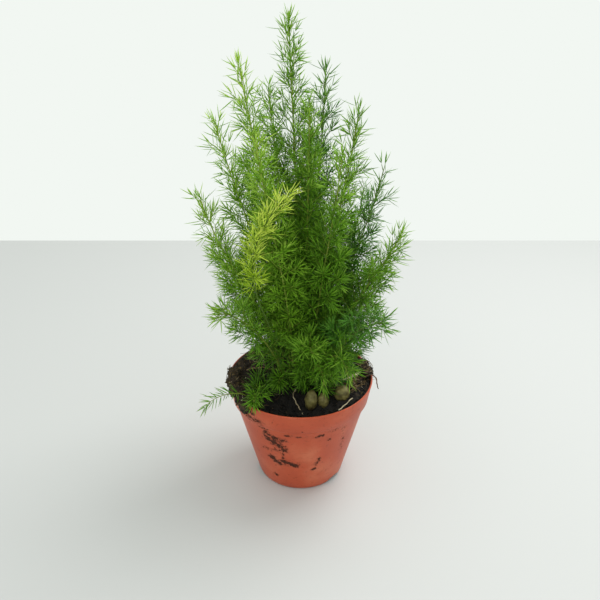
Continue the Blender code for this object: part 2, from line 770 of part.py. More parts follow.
def make_plumes(parts, helpers, materials):
    """Every plume as one solid. Gives the straight cutters of their holes in the soil."""
    stems = {plume: stem_route(plume) for plume in PLUMES}
    placed = Clearances()
    for number, (plume, stem) in enumerate(stems.items()):
        radii = np.full(len(stem) - 1, plume.girth * STEM_RADIUS)
        placed.add(stem[:-1], stem[1:], radii, OWNERS_PER_PLUME * number)
    draws = np.random.default_rng(SEED)
    cutters = []
    for number, (plume, stem) in enumerate(stems.items()):
        growth = Growth(plume, stem, OWNERS_PER_PLUME * number, placed, draws)
        foot = stem[0] - (0.0, 0.0, STEM_BURIED)
        shares = growth.stem_points()
        line = [foot, *(point_on(stem, share)[0] for share in shares)]
        thick = plume.girth * STEM_RADIUS
        radii = [thick, *(thick + (STEM_TIP_RADIUS - thick) * shares)]
        obj = tube(plume.name, line, radii, parts, materials[plume.colour])
        growth.add_stem_needles(obj)
        branches = [
            add_object("branch", growth.branch_mesh(start, end, own), helpers)
            for start, end, own in list(growth.branches())
        ]
        if branches:
            apply_boolean(obj, "UNION", branches, helpers)
            keep_largest_body(obj)
        obj.data.materials.clear()
        obj.data.materials.append(materials[plume.colour])
        hole = [foot - (0.0, 0.0, GAP), stem[0] + (0.0, 0.0, HOLE_OVER_SOIL)]
        cutters.append(tube("hole", hole, [thick + 1.5 * GAP] * 2, helpers, sides=6))
    return cutters


def main():
    """Builds the pot, the plant and the soil."""
    clear_scene()
    parts = new_collection("foxtail_fern")
    helpers = new_collection("cutters")
    helpers.hide_render = True
    pot_plastic = principled("terracotta_coloured_plastic", (0.45, 0.115, 0.060), 0.45)
    peat = principled("peat_soil", (0.018, 0.011, 0.006), 0.95)
    tuber_skin = principled("tuber_skin", (0.20, 0.17, 0.07), 0.60)
    root_bark = principled("root_bark", (0.17, 0.11, 0.06), 0.80)
    foliage = {
        GREEN: principled("foliage_green", GREEN, 0.5),
        LIGHT_GREEN: principled("foliage_light_green", LIGHT_GREEN, 0.5),
        YOUNG_GREEN: principled("foliage_young_green", YOUNG_GREEN, 0.5),
        DARK_GREEN: principled("foliage_dark_green", DARK_GREEN, 0.5),
    }
    make_pot(parts, helpers, pot_plastic)
    cutters = make_plumes(parts, helpers, foliage)
    for name, (middle, half_width, half_length, lean) in TUBERS.items():
        ellipsoid(name, middle, half_width, half_length, lean, parts, material=tuber_skin)
        cutters.append(ellipsoid("socket", middle, half_width, half_length, lean, helpers, extra=GAP))
    for name, (points, radius) in ROOTS.items():
        route = root_route(points, radius)
        tube(name, route, [radius] * len(route), parts, root_bark)
        cutters.append(tube("groove", route, [radius + 1.5 * GAP] * len(route), helpers, sides=6))
    hanging = smooth_route(HANGING_ROOT, 14)
    tube("root_over_rim", hanging, [HANGING_ROOT_RADIUS] * len(hanging), parts, root_bark)
    cutters.append(tube("groove", hanging, [HANGING_ROOT_RADIUS + 1.5 * GAP] * len(hanging), helpers, sides=6))
    make_soil(parts, helpers, peat, cutters)


main()
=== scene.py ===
"""Dresses a foxtail fern, Asparagus densiflorus, in its 12 cm nursery pot.

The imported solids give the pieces, their places and their size. Each leafy stem, or plume, is grown again by
the rule that made its solid: the same curve for the stem and the same spiral of side branches, with many
more branches, twigs and needles. The pot, the soil, the tubers and the roots are surfaces worked out with
numpy. The front is -Y, +X is to the right, +Z is up, and lengths are in metres.
"""

from __future__ import annotations

import logging
import math
from dataclasses import dataclass
from enum import Enum

import bpy
import numpy as np
from bpy.types import Material, Node, NodeSocket, NodeTree, Object
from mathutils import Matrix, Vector


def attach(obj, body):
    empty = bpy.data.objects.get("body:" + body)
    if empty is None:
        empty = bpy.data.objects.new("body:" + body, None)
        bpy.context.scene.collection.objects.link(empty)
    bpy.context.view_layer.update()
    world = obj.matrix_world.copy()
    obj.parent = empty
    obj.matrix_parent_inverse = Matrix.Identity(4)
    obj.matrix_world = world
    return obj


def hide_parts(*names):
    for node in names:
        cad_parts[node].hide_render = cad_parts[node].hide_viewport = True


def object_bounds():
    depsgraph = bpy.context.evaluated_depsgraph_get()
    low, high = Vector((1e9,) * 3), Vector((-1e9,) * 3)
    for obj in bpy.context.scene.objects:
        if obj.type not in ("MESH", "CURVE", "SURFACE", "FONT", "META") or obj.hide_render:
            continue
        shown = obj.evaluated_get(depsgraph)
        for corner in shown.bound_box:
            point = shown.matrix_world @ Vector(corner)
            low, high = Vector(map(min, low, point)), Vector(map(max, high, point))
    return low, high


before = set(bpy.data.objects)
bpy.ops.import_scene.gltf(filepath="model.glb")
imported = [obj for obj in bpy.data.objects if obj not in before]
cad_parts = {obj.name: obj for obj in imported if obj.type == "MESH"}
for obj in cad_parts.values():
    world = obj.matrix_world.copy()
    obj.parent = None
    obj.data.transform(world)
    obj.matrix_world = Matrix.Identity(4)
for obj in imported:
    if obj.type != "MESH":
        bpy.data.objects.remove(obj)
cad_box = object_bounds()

log = logging.getLogger("foxtail_fern")
Array = np.ndarray
Draws = np.random.Generator
Place = tuple[float, float]
Point = tuple[float, float, float]
MM = 0.001
GOLDEN_ANGLE = math.pi * (3.0 - math.sqrt(5.0))
UP = np.array([0.0, 0.0, 1.0])
# A direction that no stem or root keeps to, to measure turns from.
SKEW = np.array([0.31, 0.17, 0.93])

# Each kind of piece starts its random draws from a seed of its own.
CRUMB_SEED = 8
SOIL_SEED = 11
CLOD_SEED = 60
TUBER_SEED = 200
ROOT_SEED = 300
PLUME_SEED = 400


def linear(code: str) -> tuple[float, float, float, float]:
    """Turns an sRGB hex code to a linear colour with full alpha.

    Args:
        code: Six hex digits, such as "B0583F".

    Returns:
        Red, green, blue and alpha, each from 0 to 1.
    """
    parts = (int(code[i : i + 2], 16) / 255.0 for i in (0, 2, 4))
    return (*(c / 12.92 if c <= 0.04045 else ((c + 0.055) / 1.055) ** 2.4 for c in parts), 1.0)


def feed(node: Node, inputs: dict) -> None:
    """Sets or links a node's inputs.

    Args:
        node: The node.
        inputs: Input socket to its value, or to the output socket that feeds it.
    """
    for socket, value in inputs.items():
        if isinstance(value, NodeSocket):
            node.id_data.links.new(value, node.inputs[socket])
        else:
            node.inputs[socket].default_value = value


def add_node(
    tree: NodeTree,
    kind: str,
    inputs: dict,
    out: str | int = 0,
    stops: dict | None = None,
    **settings,
) -> NodeSocket:
    """Adds a node with its settings, input values and links.

    Args:
        tree: The material's node tree.
        kind: The node's type name, without the ShaderNode in front.
        inputs: Input socket to its value, or to the output socket that feeds it.
        out: The output that is wanted.
        stops: On a colour ramp, position to sRGB hex code.
        settings: The node's own properties.

    Returns:
        The wanted output socket.
    """
    node = tree.nodes.new("ShaderNode" + kind)
    for name, value in settings.items():
        setattr(node, name, value)
    feed(node, inputs)
    if stops:
        elements = node.color_ramp.elements
        while len(elements) < len(stops):
            elements.new(0.5)
        for element, (place, code) in zip(elements, stops.items()):
            element.position = place
            element.color = linear(code)
    return node.outputs[out]


def shifted_tone(tree: NodeTree, noise: NodeSocket, spread: float) -> NodeSocket:
    """Shifts the tone attribute by a noise: tone + spread (noise - 0.5), held between 0 and 1.

    Args:
        tree: The material's node tree.
        noise: The noise, from 0 to 1.
        spread: How far apart the noise's ends bring the tone.

    Returns:
        The shifted tone.
    """
    tone = add_node(tree, "Attribute", {}, "Fac", attribute_name="tone")
    shift = add_node(tree, "Math", {0: noise, 1: spread, 2: -0.5 * spread}, operation="MULTIPLY_ADD")
    return add_node(tree, "Math", {0: tone, 1: shift}, operation="ADD", use_clamp=True)


@dataclass(frozen=True)
class Finish:
    """A finish: a name, and one Principled shader fed by what paint works out."""

    name: str

    def material(self) -> Material:
        """Makes the material, with every pattern on object coordinates.

        Returns:
            The material.
        """
        material = bpy.data.materials.new(self.name)
        material.use_nodes = True
        tree = material.node_tree
        feed(tree.nodes["Principled BSDF"], self.paint(tree, add_node(tree, "TexCoord", {}, "Object")))
        return material

    def paint(self, tree: NodeTree, place: NodeSocket) -> dict:
        """Adds the nodes of this finish.

        Args:
            tree: The material's node tree.
            place: The place on the piece, in object coordinates.

        Returns:
            The shader's inputs, as feed takes them.
        """
        raise NotImplementedError


@dataclass(frozen=True)
class Leaf(Finish):
    """Living leaf and stem. Its waxy skin has a soft sheen, and its green drifts slowly over a plume.

    The tone attribute runs from 0, older growth in painted shade, to 1, new growth in painted light.
    The wood attribute is 1 on a stem.
    """

    shaded_old: str
    grown: str
    lit_fresh: str
    stem: str
    roughness: float = 0.50
    sheen: float = 0.22
    patch_mm: float = 22.0
    patch_spread: float = 0.5

    def paint(self, tree: NodeTree, place: NodeSocket) -> dict:
        """The green that the tone picks, with the stem's colour mixed in by the wood.

        Args:
            tree: The material's node tree.
            place: The place on the piece, in object coordinates.

        Returns:
            The shader's inputs.
        """
        size = {"Scale": 1.0 / (self.patch_mm * MM), "Detail": 2.0}
        drift = add_node(tree, "TexNoise", {"Vector": place, **size})
        tone = shifted_tone(tree, drift, self.patch_spread)
        # The ramp runs from older growth in painted shade, through the grown green, to new growth in painted
        # light.
        stops = {0.0: self.shaded_old, 0.5: self.grown, 1.0: self.lit_fresh}
        green = add_node(tree, "ValToRGB", {"Fac": tone}, stops=stops)
        wood = add_node(tree, "Attribute", {}, "Fac", attribute_name="wood")
        mix = {"Factor": wood, "A": green, "B": linear(self.stem)}
        colour = add_node(tree, "Mix", mix, "Result", data_type="RGBA")
        return {"Base Color": colour, "Roughness": self.roughness, "Specular IOR Level": self.sheen}


@dataclass(frozen=True)
class Earthy(Finish):
    """Peat, bark or a tuber's skin: matt, in colours that the tone and a grainy noise pick from a ramp."""

    stops: dict[float, str]
    roughness: float = 0.62
    grain_mm: float = 1.6
    detail: float = 6.0
    coarseness: float = 0.6
    spread: float = 0.7
    bump: float = 0.7
    relief_mm: float = 0.12

    def paint(self, tree: NodeTree, place: NodeSocket) -> dict:
        """The ramp's colour and the bump, both from one noise.

        Args:
            tree: The material's node tree.
            place: The place on the piece, in object coordinates.

        Returns:
            The shader's inputs.
        """
        size = {"Scale": 1.0 / (self.grain_mm * MM), "Detail": self.detail, "Roughness": self.coarseness}
        grain = add_node(tree, "TexNoise", {"Vector": place, **size})
        tone = shifted_tone(tree, grain, self.spread)
        colour = add_node(tree, "ValToRGB", {"Fac": tone}, stops=self.stops)
        relief = {"Height": grain, "Strength": self.bump, "Distance": self.relief_mm * MM}
        return {"Base Color": colour, "Roughness": self.roughness, "Normal": add_node(tree, "Bump", relief)}


@dataclass(frozen=True)
class Smear:
    """Peat wiped over the wall from one azimuth and height to another, in degrees and mm, fading sideways."""

    start: Place
    end: Place
    width_mm: float
    strength: float = 0.62


@dataclass(frozen=True)
class Polypropylene(Finish):
    """Polypropylene, injection moulded: an even satin face of warm clay, with peat that dried on it.

    A film of dirt stains the wall, and a matt crust lies where the dirt is thickest. film and crust hold the
    dirt where each starts and where it is full, and its share there. The tone attribute is 1 where the soil
    has stained the inside.
    """

    pot: "NurseryPot"
    body: str = "B85030"
    deep: str = "AE482A"
    chalk: str = "CC7654"
    peat: str = "46200F"
    stain: str = "8A3A1E"
    inner: str = "6A2C1A"
    roughness: float = 0.42
    crust_roughness: float = 0.9
    specular: float = 0.34
    mottle_mm: float = 30.0
    speck_mm: float = 2.8
    grain_mm: float = 0.7
    relief_mm: float = 0.08
    clean: float = 0.35
    film: tuple[float, float, float] = (0.90, 1.06, 0.55)
    crust: tuple[float, float, float] = (1.00, 1.12, 1.0)
    smears: tuple[Smear, ...] = (
        Smear((-121.0, 66.5), (-106.0, 62.0), 5.6, 0.66),
        Smear((-120.5, 61.0), (-108.0, 55.0), 7.4, 0.70),
        Smear((-112.0, 57.5), (-104.0, 50.5), 5.0, 0.64),
        Smear((-129.0, 46.0), (-111.0, 50.0), 3.6, 0.60),
        Smear((-107.0, 48.5), (-108.4, 36.4), 2.8, 0.62),
        Smear((-121.0, 37.5), (-112.3, 32.7), 6.0, 0.68),
        Smear((-107.5, 36.0), (-94.8, 33.0), 5.6, 0.70),
        Smear((-121.1, 15.0), (-119.5, 14.5), 3.2, 0.66),
        Smear((-77.5, 26.5), (-75.0, 27.5), 3.0, 0.68),
        Smear((-73.5, 32.0), (-71.1, 38.9), 3.6, 0.60),
        Smear((-64.2, 60.5), (-63.2, 61.5), 2.6, 0.66),
        Smear((-103.0, 69.5), (-71.0, 68.3), 2.8, 0.66),
        Smear((-118.0, 71.5), (-126.0, 71.5), 3.0, 0.55),
        Smear((-67.0, 71.0), (-52.0, 71.6), 2.8, 0.54),
        Smear((-50.0, 69.4), (-44.0, 42.0), 5.0, 0.50),
        Smear((-143.0, 80.0), (-124.0, 78.5), 7.0, 0.58),
        Smear((-146.0, 87.0), (-130.0, 86.0), 5.0, 0.62),
    )

    def paint(self, tree: NodeTree, place: NodeSocket) -> dict:
        """The mottled plastic, under a film, the stained inside and the crust in turn.

        Args:
            tree: The material's node tree.
            place: The place on the piece, in object coordinates.

        Returns:
            The shader's inputs.
        """
        mottle, speck, grain = (
            add_node(tree, "TexNoise", {"Vector": place, "Scale": 1.0 / (size * MM), **more})
            for size, more in (
                (self.mottle_mm, {"Detail": 5.0}),
                (self.speck_mm, {"Detail": 5.0, "Roughness": 0.7}),
                (self.grain_mm, {"Detail": 2.0}),
            )
        )
        dirt = add_node(tree, "Math", {0: speck, 1: self.dirt(tree, place)}, operation="ADD")
        film, crust = (
            add_node(tree, "MapRange", {"Value": dirt, "From Min": low, "From Max": high, "To Max": most})
            for low, high, most in (self.film, self.crust)
        )
        coat = add_node(tree, "Attribute", {}, "Fac", attribute_name="tone")
        stops = {0.30: self.deep, 0.50: self.body, 0.85: self.chalk}
        colour = add_node(tree, "ValToRGB", {"Fac": mottle}, stops=stops)
        for share, code in ((film, self.stain), (coat, self.inner), (crust, self.peat)):
            mix = {"Factor": share, "A": colour, "B": linear(code)}
            colour = add_node(tree, "Mix", mix, "Result", data_type="RGBA")
        dull = {"Value": crust, "To Min": self.roughness, "To Max": self.crust_roughness}
        height = add_node(tree, "Math", {0: crust, 1: 5.0, 2: grain}, operation="MULTIPLY_ADD")
        relief = {"Height": height, "Strength": 0.25, "Distance": self.relief_mm * MM}
        return {
            "Base Color": colour,
            "Roughness": add_node(tree, "MapRange", dull),
            "Specular IOR Level": self.specular,
            "Normal": add_node(tree, "Bump", relief),
        }

    def dirt(self, tree: NodeTree, place: NodeSocket) -> NodeSocket:
        """Works out how dirty the wall is: the most that any smear gives, less the farther from its line.

        The distance of a place p from a line is |p - start - h (end - start)|, with h from 0 to 1.

        Args:
            tree: The material's node tree.
            place: The place on the pot, in object coordinates.

        Returns:
            The dirt, from the clean wall's value up.
        """
        dirt = add_node(tree, "Value", {})
        dirt.default_value = self.clean
        for smear in self.smears:
            start, end = (np.array(self.pot.wall_point(*mark)) for mark in (smear.start, smear.end))
            way = end - start
            per_way = tuple(way / (way @ way))
            offset = add_node(tree, "VectorMath", {0: place, 1: tuple(start)}, operation="SUBTRACT")
            along = add_node(tree, "VectorMath", {0: offset, 1: per_way}, "Value", operation="DOT_PRODUCT")
            share = add_node(tree, "Clamp", {"Value": along})
            nearest = add_node(tree, "VectorMath", {0: tuple(way), "Scale": share}, operation="SCALE")
            apart = add_node(tree, "VectorMath", {0: offset, 1: nearest}, operation="SUBTRACT")
            away = add_node(tree, "VectorMath", {0: apart}, "Value", operation="LENGTH")
            fall = {"Value": away, "From Min": smear.width_mm * MM, "From Max": 0.0}
            patch = add_node(tree, "MapRange", {**fall, "To Min": self.clean, "To Max": smear.strength})
            dirt = add_node(tree, "Math", {0: dirt, 1: patch}, operation="MAXIMUM")
        return dirt


# Milled peat dries unevenly: nearly black where wet, red-brown where dry, with tan chips and pale grains.
# Its dark end also paints the shade low in the hollow.
PEAT = Earthy(
    "peat_mix",
    {0.0: "0B0805", 0.32: "1B150D", 0.56: "36291A", 0.76: "574628", 0.92: "8C7448", 1.0: "CFC4A8"},
    roughness=0.92,
    grain_mm=3.5,
    detail=8.0,
    coarseness=0.7,
    spread=0.40,
    bump=0.8,
    relief_mm=0.5,
)
# A tuber's skin is olive and a little lumpy, and is darker on its lower part.
TUBER_SKIN = Earthy("tuber_skin", {0.0: "33280F", 0.5: "67602F", 1.0: "9A9258"}, relief_mm=0.18)
# Root bark is fibrous, from dark brown where it is wet to straw where it has dried.
ROOT_BARK = Earthy("root_bark", {0.0: "35241A", 0.5: "8A6B45", 1.0: "D8C9A6"})


class Family(Enum):
    """The colour families of the foliage, each with its finish."""

    # Greens: older growth in painted shade, grown, new growth in painted light; then the stem's colour.
    GREEN = Leaf("leaf_green", "2C4C10", "62961A", "9EC846", "82943A")
    LIGHT = Leaf("leaf_light_green", "487814", "80B428", "BCDC5C", "98AC48")
    YOUNG = Leaf("leaf_young", "4C7C14", "ACD02A", "DEEE68", "4E6A22")
    DARK = Leaf("leaf_dark_green", "264E10", "4C8424", "7EAC40", "6E8240")

    @property
    def slot(self) -> str:
        """The record's material slot."""
        return "foliage_" + self.name.lower()


@dataclass
class Shell:
    """A closed surface, or several: points, triangles, a tone at each point, and one woodiness."""

    points: Array
    faces: Array
    tones: Array | float = 0.5
    wood: float = 0.0

    def tone_array(self) -> Array:
        """The tone at each point."""
        return np.broadcast_to(self.tones, len(self.points))


def make_object(name: str, shells: list[Shell], material: Material) -> Object:
    """Puts closed surfaces into one mesh, with their tones and woodiness.

    Args:
        name: The object's name.
        shells: The surfaces.
        material: Their one material.

    Returns:
        A smooth object at the origin.
    """
    starts = np.cumsum([0] + [len(shell.points) for shell in shells[:-1]])
    points = np.concatenate([shell.points for shell in shells])
    faces = np.concatenate([shell.faces + start for shell, start in zip(shells, starts)])
    mesh = bpy.data.meshes.new(name)
    mesh.vertices.add(len(points))
    mesh.vertices.foreach_set("co", points.astype(np.float32).ravel())
    mesh.loops.add(3 * len(faces))
    mesh.loops.foreach_set("vertex_index", faces.astype(np.int32).ravel())
    mesh.polygons.add(len(faces))
    mesh.polygons.foreach_set("loop_start", np.arange(0, 3 * len(faces), 3, dtype=np.int32))
    mesh.polygons.foreach_set("use_smooth", np.ones(len(faces), bool))
    mesh.update(calc_edges=True)
    tones = np.concatenate([shell.tone_array() for shell in shells])
    wood = np.concatenate([np.full(len(shell.points), shell.wood) for shell in shells])
    for label, values in (("tone", tones), ("wood", wood)):
        mesh.attributes.new(label, "FLOAT", "POINT").data.foreach_set("value", values.astype(np.float32))
    mesh.materials.append(material)
    obj = bpy.data.objects.new(name, mesh)
    bpy.context.scene.collection.objects.link(obj)
    return obj


def close_rings(starts: Array, rings: Array, ends: Array) -> tuple[Array, Array]:
    """Joins each stack of rings to a tube, closed by a point at either end.

    Ring i joins ring i + 1 by two triangles for each side, and a fan of triangles closes each end. The rings
    turn anticlockwise about the way from start to end, so every face points outwards.

    Args:
        starts: First end points, (tubes, 3).
        rings: Ring points, (tubes, rings, sides, 3).
        ends: Last end points, (tubes, 3).

    Returns:
        Points (n, 3) and triangles (m, 3).
    """
    tubes, count, sides, _ = rings.shape
    points = np.concatenate([starts[:, None], rings.reshape(tubes, -1, 3), ends[:, None]], axis=1)
    here = np.arange(sides)
    ahead = (here + 1) % sides
    low = 1 + sides * np.arange(count - 1)[:, None]
    lower, upper = low + here, low + sides + here
    lower_next, upper_next = low + ahead, low + sides + ahead
    walls = np.concatenate(
        [
            np.stack([lower, lower_next, upper_next], -1).reshape(-1, 3),
            np.stack([lower, upper_next, upper], -1).reshape(-1, 3),
        ]
    )
    last = 1 + sides * (count - 1)
    first_fan = np.stack([np.zeros(sides, int), 1 + ahead, 1 + here], -1)
    last_fan = np.stack([np.full(sides, points.shape[1] - 1), last + here, last + ahead], -1)
    faces = np.concatenate([first_fan, walls, last_fan])
    offsets = points.shape[1] * np.arange(tubes)
    return points.reshape(-1, 3), (faces[None] + offsets[:, None, None]).reshape(-1, 3)


def unit(vectors: Array) -> Array:
    """Each vector at length 1."""
    return vectors / np.maximum(np.linalg.norm(vectors, axis=-1, keepdims=True), 1e-12)


def circle(count: int) -> Array:
    """Points evenly round the unit circle, (count, 2)."""
    turn = 2.0 * np.pi * np.arange(count) / count
    return np.stack([np.cos(turn), np.sin(turn)], -1)


def sweep(
    paths: Array, radii: Array, sides: int, flat: float = 1.0, facing: Array | None = None
) -> tuple[Array, Array]:
    """Carries a ring along each path, to closed tubes that end in a point at both ends.

    Point j of the ring at station c is c + r (cos a u + flat sin a v), where a is j / sides of a turn, u
    lies across the path and square to facing, and v is square to u and the path.

    Args:
        paths: Centre lines, (tubes, stations, 3). The first and last stations are the end points.
        radii: Radius at each station, (tubes, stations).
        sides: Points in each ring.
        flat: Thickness over width.
        facing: For each tube, a direction that its broad face looks to, (tubes, 3).

    Returns:
        Points (n, 3) and triangles (m, 3).
    """
    ahead = unit(np.gradient(paths, axis=1))
    if facing is None:
        facing = np.tile(SKEW, (len(paths), 1))
    across = unit(np.cross(ahead, facing[:, None, :]))
    other = np.cross(ahead, across)
    right, up = circle(sides).T[..., None]
    ring = right * across[:, 1:-1, None] + flat * up * other[:, 1:-1, None]
    rings = paths[:, 1:-1, None] + radii[:, 1:-1, None, None] * ring
    return close_rings(paths[:, 0], rings, paths[:, -1])


def ripples(points: Array, size: float, seed: int, layers: int = 3) -> Array:
    """Makes smooth noise about zero: layers of ten sine waves in random directions, each half as coarse.

    Args:
        points: Where to work it out, (..., 3).
        size: The longest wave.
        seed: Seed of the waves' directions and starts.
        layers: Number of layers.

    Returns:
        The noise at each point, mostly between -1 and 1.
    """
    draws = np.random.default_rng(seed)
    total = np.zeros(points.shape[:-1])
    for layer in range(layers):
        ways = unit(draws.normal(size=(10, 3))).T
        phases = draws.uniform(0.0, 2.0 * np.pi, 10)
        waves = np.sin(points @ ways * (2.0 * np.pi / size * 2.0**layer) + phases)
        total += waves.sum(-1) / (4.5 * 1.8**layer)
    return total


def smooth_route(points: list[Point] | Array, count: int) -> Array:
    """Places points evenly along the Catmull-Rom curve through the given ones.

    Args:
        points: The points that the curve passes through.
        count: Number of points wanted.

    Returns:
        The points, (count, 3).
    """
    points = np.array(points, float)
    knots = np.vstack([2 * points[0] - points[1], points, 2 * points[-1] - points[-2]])
    place = np.linspace(0.0, len(points) - 1, count)
    span = np.minimum(place.astype(int), len(points) - 2)
    t = (place - span)[:, None]
    a, b, c, d = (knots[span + i] for i in range(4))
    return 0.5 * (2 * b + (c - a) * t + (2 * a - 5 * b + 4 * c - d) * t**2 + (3 * b - a - 3 * c + d) * t**3)


@dataclass
class NurseryPot:
    """The moulded pot: a tapered wall, a collar that stands out over it, and drain notches round the foot."""

    height: float = 92.0 * MM
    rim_radius: float = 60.0 * MM
    foot_radius: float = 36.4 * MM
    foot_ring: float = 8.0 * MM
    collar_height: float = 17.5 * MM
    collar_foot_radius: float = 57.0 * MM
    ledge: float = 1.8 * MM
    wall: float = 1.2 * MM
    lip_share: float = 0.65
    floor: float = 1.5 * MM
    notches: int = 3
    notch_width: float = 20.0 * MM
    notch_height: float = 4.6 * MM
    notch_depth: float = 16.0 * MM
    first_notch_deg: float = -41.0
    steps: int = 192
    stain: float = 0.85
    sharp_deg: float = 40.0

    @property
    def step(self) -> float:
        """The height of the ledge under the collar."""
        return self.height - self.collar_height

    def wall_radius(self, z: Array | float) -> Array:
        """Finds the outer radius at a height: one cone up to the ledge and a steeper one above it.

        Args:
            z: The height, or many.

        Returns:
            The radius at each.
        """
        lower = self.foot_radius + (self.collar_foot_radius - self.ledge - self.foot_radius) * z / self.step
        collar = (self.rim_radius - self.collar_foot_radius) / self.collar_height
        return np.where(z >= self.step, self.collar_foot_radius + collar * (z - self.step), lower)

    def wall_point(self, angle_deg: float, height_mm: float) -> Point:
        """Finds a point on the outer wall.

        Args:
            angle_deg: The azimuth.
            height_mm: The height over the foot.

        Returns:
            The point.
        """
        angle, z = math.radians(angle_deg), height_mm * MM
        radius = float(self.wall_radius(z))
        return radius * math.cos(angle), radius * math.sin(angle), z

    def profile(self) -> Array:
        """Draws half the pot's section: out under the foot, up the outside, over the lip, down and in.

        Returns:
            Radius and height of each point.
        """
        foot, collar, rim = self.foot_radius, self.collar_foot_radius, self.rim_radius
        lip = self.wall * self.lip_share
        heights = np.linspace(2.4 * MM, self.step - 1.4 * MM, 16)
        wall = [(float(self.wall_radius(z)), z) for z in heights]
        turn = np.radians(np.linspace(-60.0, 190.0, 11))
        bead = [(rim - lip + lip * math.cos(a), self.height - lip + lip * math.sin(a)) for a in turn]
        return np.array(
            [
                (foot - self.foot_ring, 0.0),
                (foot - 2.2 * MM, 0.0),
                (foot - 1.2 * MM, 0.15 * MM),
                (foot - 0.4 * MM, 0.9 * MM),
                *wall,
                (collar - self.ledge, self.step - 0.5 * MM),
                (collar - 0.5 * MM, self.step),
                (collar, self.step + 0.6 * MM),
                (collar + 1.1 * MM, self.step + 7.0 * MM),
                (rim - 0.7 * MM, self.height - 4.0 * MM),
                *bead,
                (rim - 2.3 * MM, self.height - 6.0 * MM),
                (collar - self.wall, self.step + 2.4 * MM),
                *((radius - self.wall, z) for radius, z in wall[::-1]),
                (foot - self.wall, self.floor),
            ]
        )

    def build(self) -> Object:
        """Turns the profile about the upright axis, and cuts the notches.

        Returns:
            The pot, one shell.
        """
        profile = self.profile()
        rings = np.empty((1, len(profile), self.steps, 3))
        rings[0, ..., :2] = profile[:, 0, None, None] * circle(self.steps)
        rings[0, ..., 2] = profile[:, 1, None]
        points, faces = close_rings(np.zeros((1, 3)), rings, np.array([[0.0, 0.0, self.floor]]))
        inside = np.arange(len(profile)) > int(np.argmax(profile[:, 1]))
        coat = np.concatenate([[0.0], np.repeat(inside * self.stain, self.steps), [1.0]])
        plastic = Polypropylene("moulded_polypropylene_terracotta", self).material()
        pot = make_object("pot_shell", [Shell(points, faces, coat)], plastic)
        self.cut_notches(pot)
        pot.data.set_sharp_from_angle(angle=math.radians(self.sharp_deg))
        return pot

    def cut_notches(self, pot: Object) -> None:
        """Cuts the wide, low drain arches with thick rods, each along a radius and mostly under the foot.

        Args:
            pot: The pot's shell.
        """
        angles = math.radians(self.first_notch_deg) + 2.0 * np.pi * np.arange(self.notches) / self.notches
        out = np.stack([np.cos(angles), np.sin(angles), np.zeros(self.notches)], -1)
        radius = (self.notch_width**2 / 4.0 + self.notch_height**2) / (2.0 * self.notch_height)
        middle = self.foot_radius + self.ledge
        near, far = middle - 0.5 * self.notch_depth, middle + 0.5 * self.notch_depth
        places = np.array([near, near + 0.01 * MM, far - 0.01 * MM, far])
        paths = out[:, None] * places[None, :, None] + UP * (self.notch_height - radius)
        radii = np.full((self.notches, 4), radius)
        points, faces = sweep(paths, radii, 96, facing=np.tile(UP, (self.notches, 1)))
        cutter = make_object("notch_rods", [Shell(points, faces)], pot.data.materials[0])
        cut = pot.modifiers.new("notches", "BOOLEAN")
        cut.object = cutter
        cut.solver = "EXACT"
        graph = bpy.context.evaluated_depsgraph_get()
        notched = bpy.data.meshes.new_from_object(pot.evaluated_get(graph))
        pot.modifiers.clear()
        pot.data = notched
        bpy.data.objects.remove(cutter, do_unlink=True)


@dataclass
class Clod:
    """A lump of peat and root that lies over the rim, by its azimuth, distance out, height and half sizes."""

    angle_deg: float
    out_mm: float
    height_mm: float
    halves_mm: Point
    down: int = 22
    around: int = 36
    roughness: float = 0.22

    def placed(self, ball: Array) -> Array:
        """Draws points of a unit ball out to the clod's half sizes, turned and moved to its place.

        Args:
            ball: Points measured outwards, along the rim and up, (count, 3).

        Returns:
            The placed points, (count, 3).
        """
        angle = math.radians(self.angle_deg)
        way = np.array([math.cos(angle), math.sin(angle), 0.0])
        side = np.array([-way[1], way[0], 0.0])
        out, along, up = (ball * np.array(self.halves_mm) * MM).T[..., None]
        return way * self.out_mm * MM + UP * self.height_mm * MM + out * way + along * side + up * UP

    def scattered(self, count: int, draws: Draws) -> Array:
        """Random places on the clod's surface, (count, 3)."""
        return self.placed(unit(draws.normal(size=(count, 3))))

    def surface(self, seed: int) -> Shell:
        """Makes the lump: a ball whose points n go out to n (1 + roughness ripples), drawn to its half sizes.

        Args:
            seed: Seed of the ripples.

        Returns:
            The lump's shell, browner than the soil.
        """
        steep = np.pi * (np.arange(1, self.down) / self.down)[::-1, None]
        ball = np.empty((self.down - 1, self.around, 3))
        ball[..., :2] = np.sin(steep)[..., None] * circle(self.around)
        ball[..., 2] = np.cos(steep)
        points, faces = close_rings(-UP[None], ball[None], UP[None])
        placed = self.placed(points * (1.0 + self.roughness * ripples(points, 0.8, seed, 4))[:, None])
        return Shell(placed, faces, 0.58 + 0.18 * ripples(placed, 6.0 * MM, seed + 50))


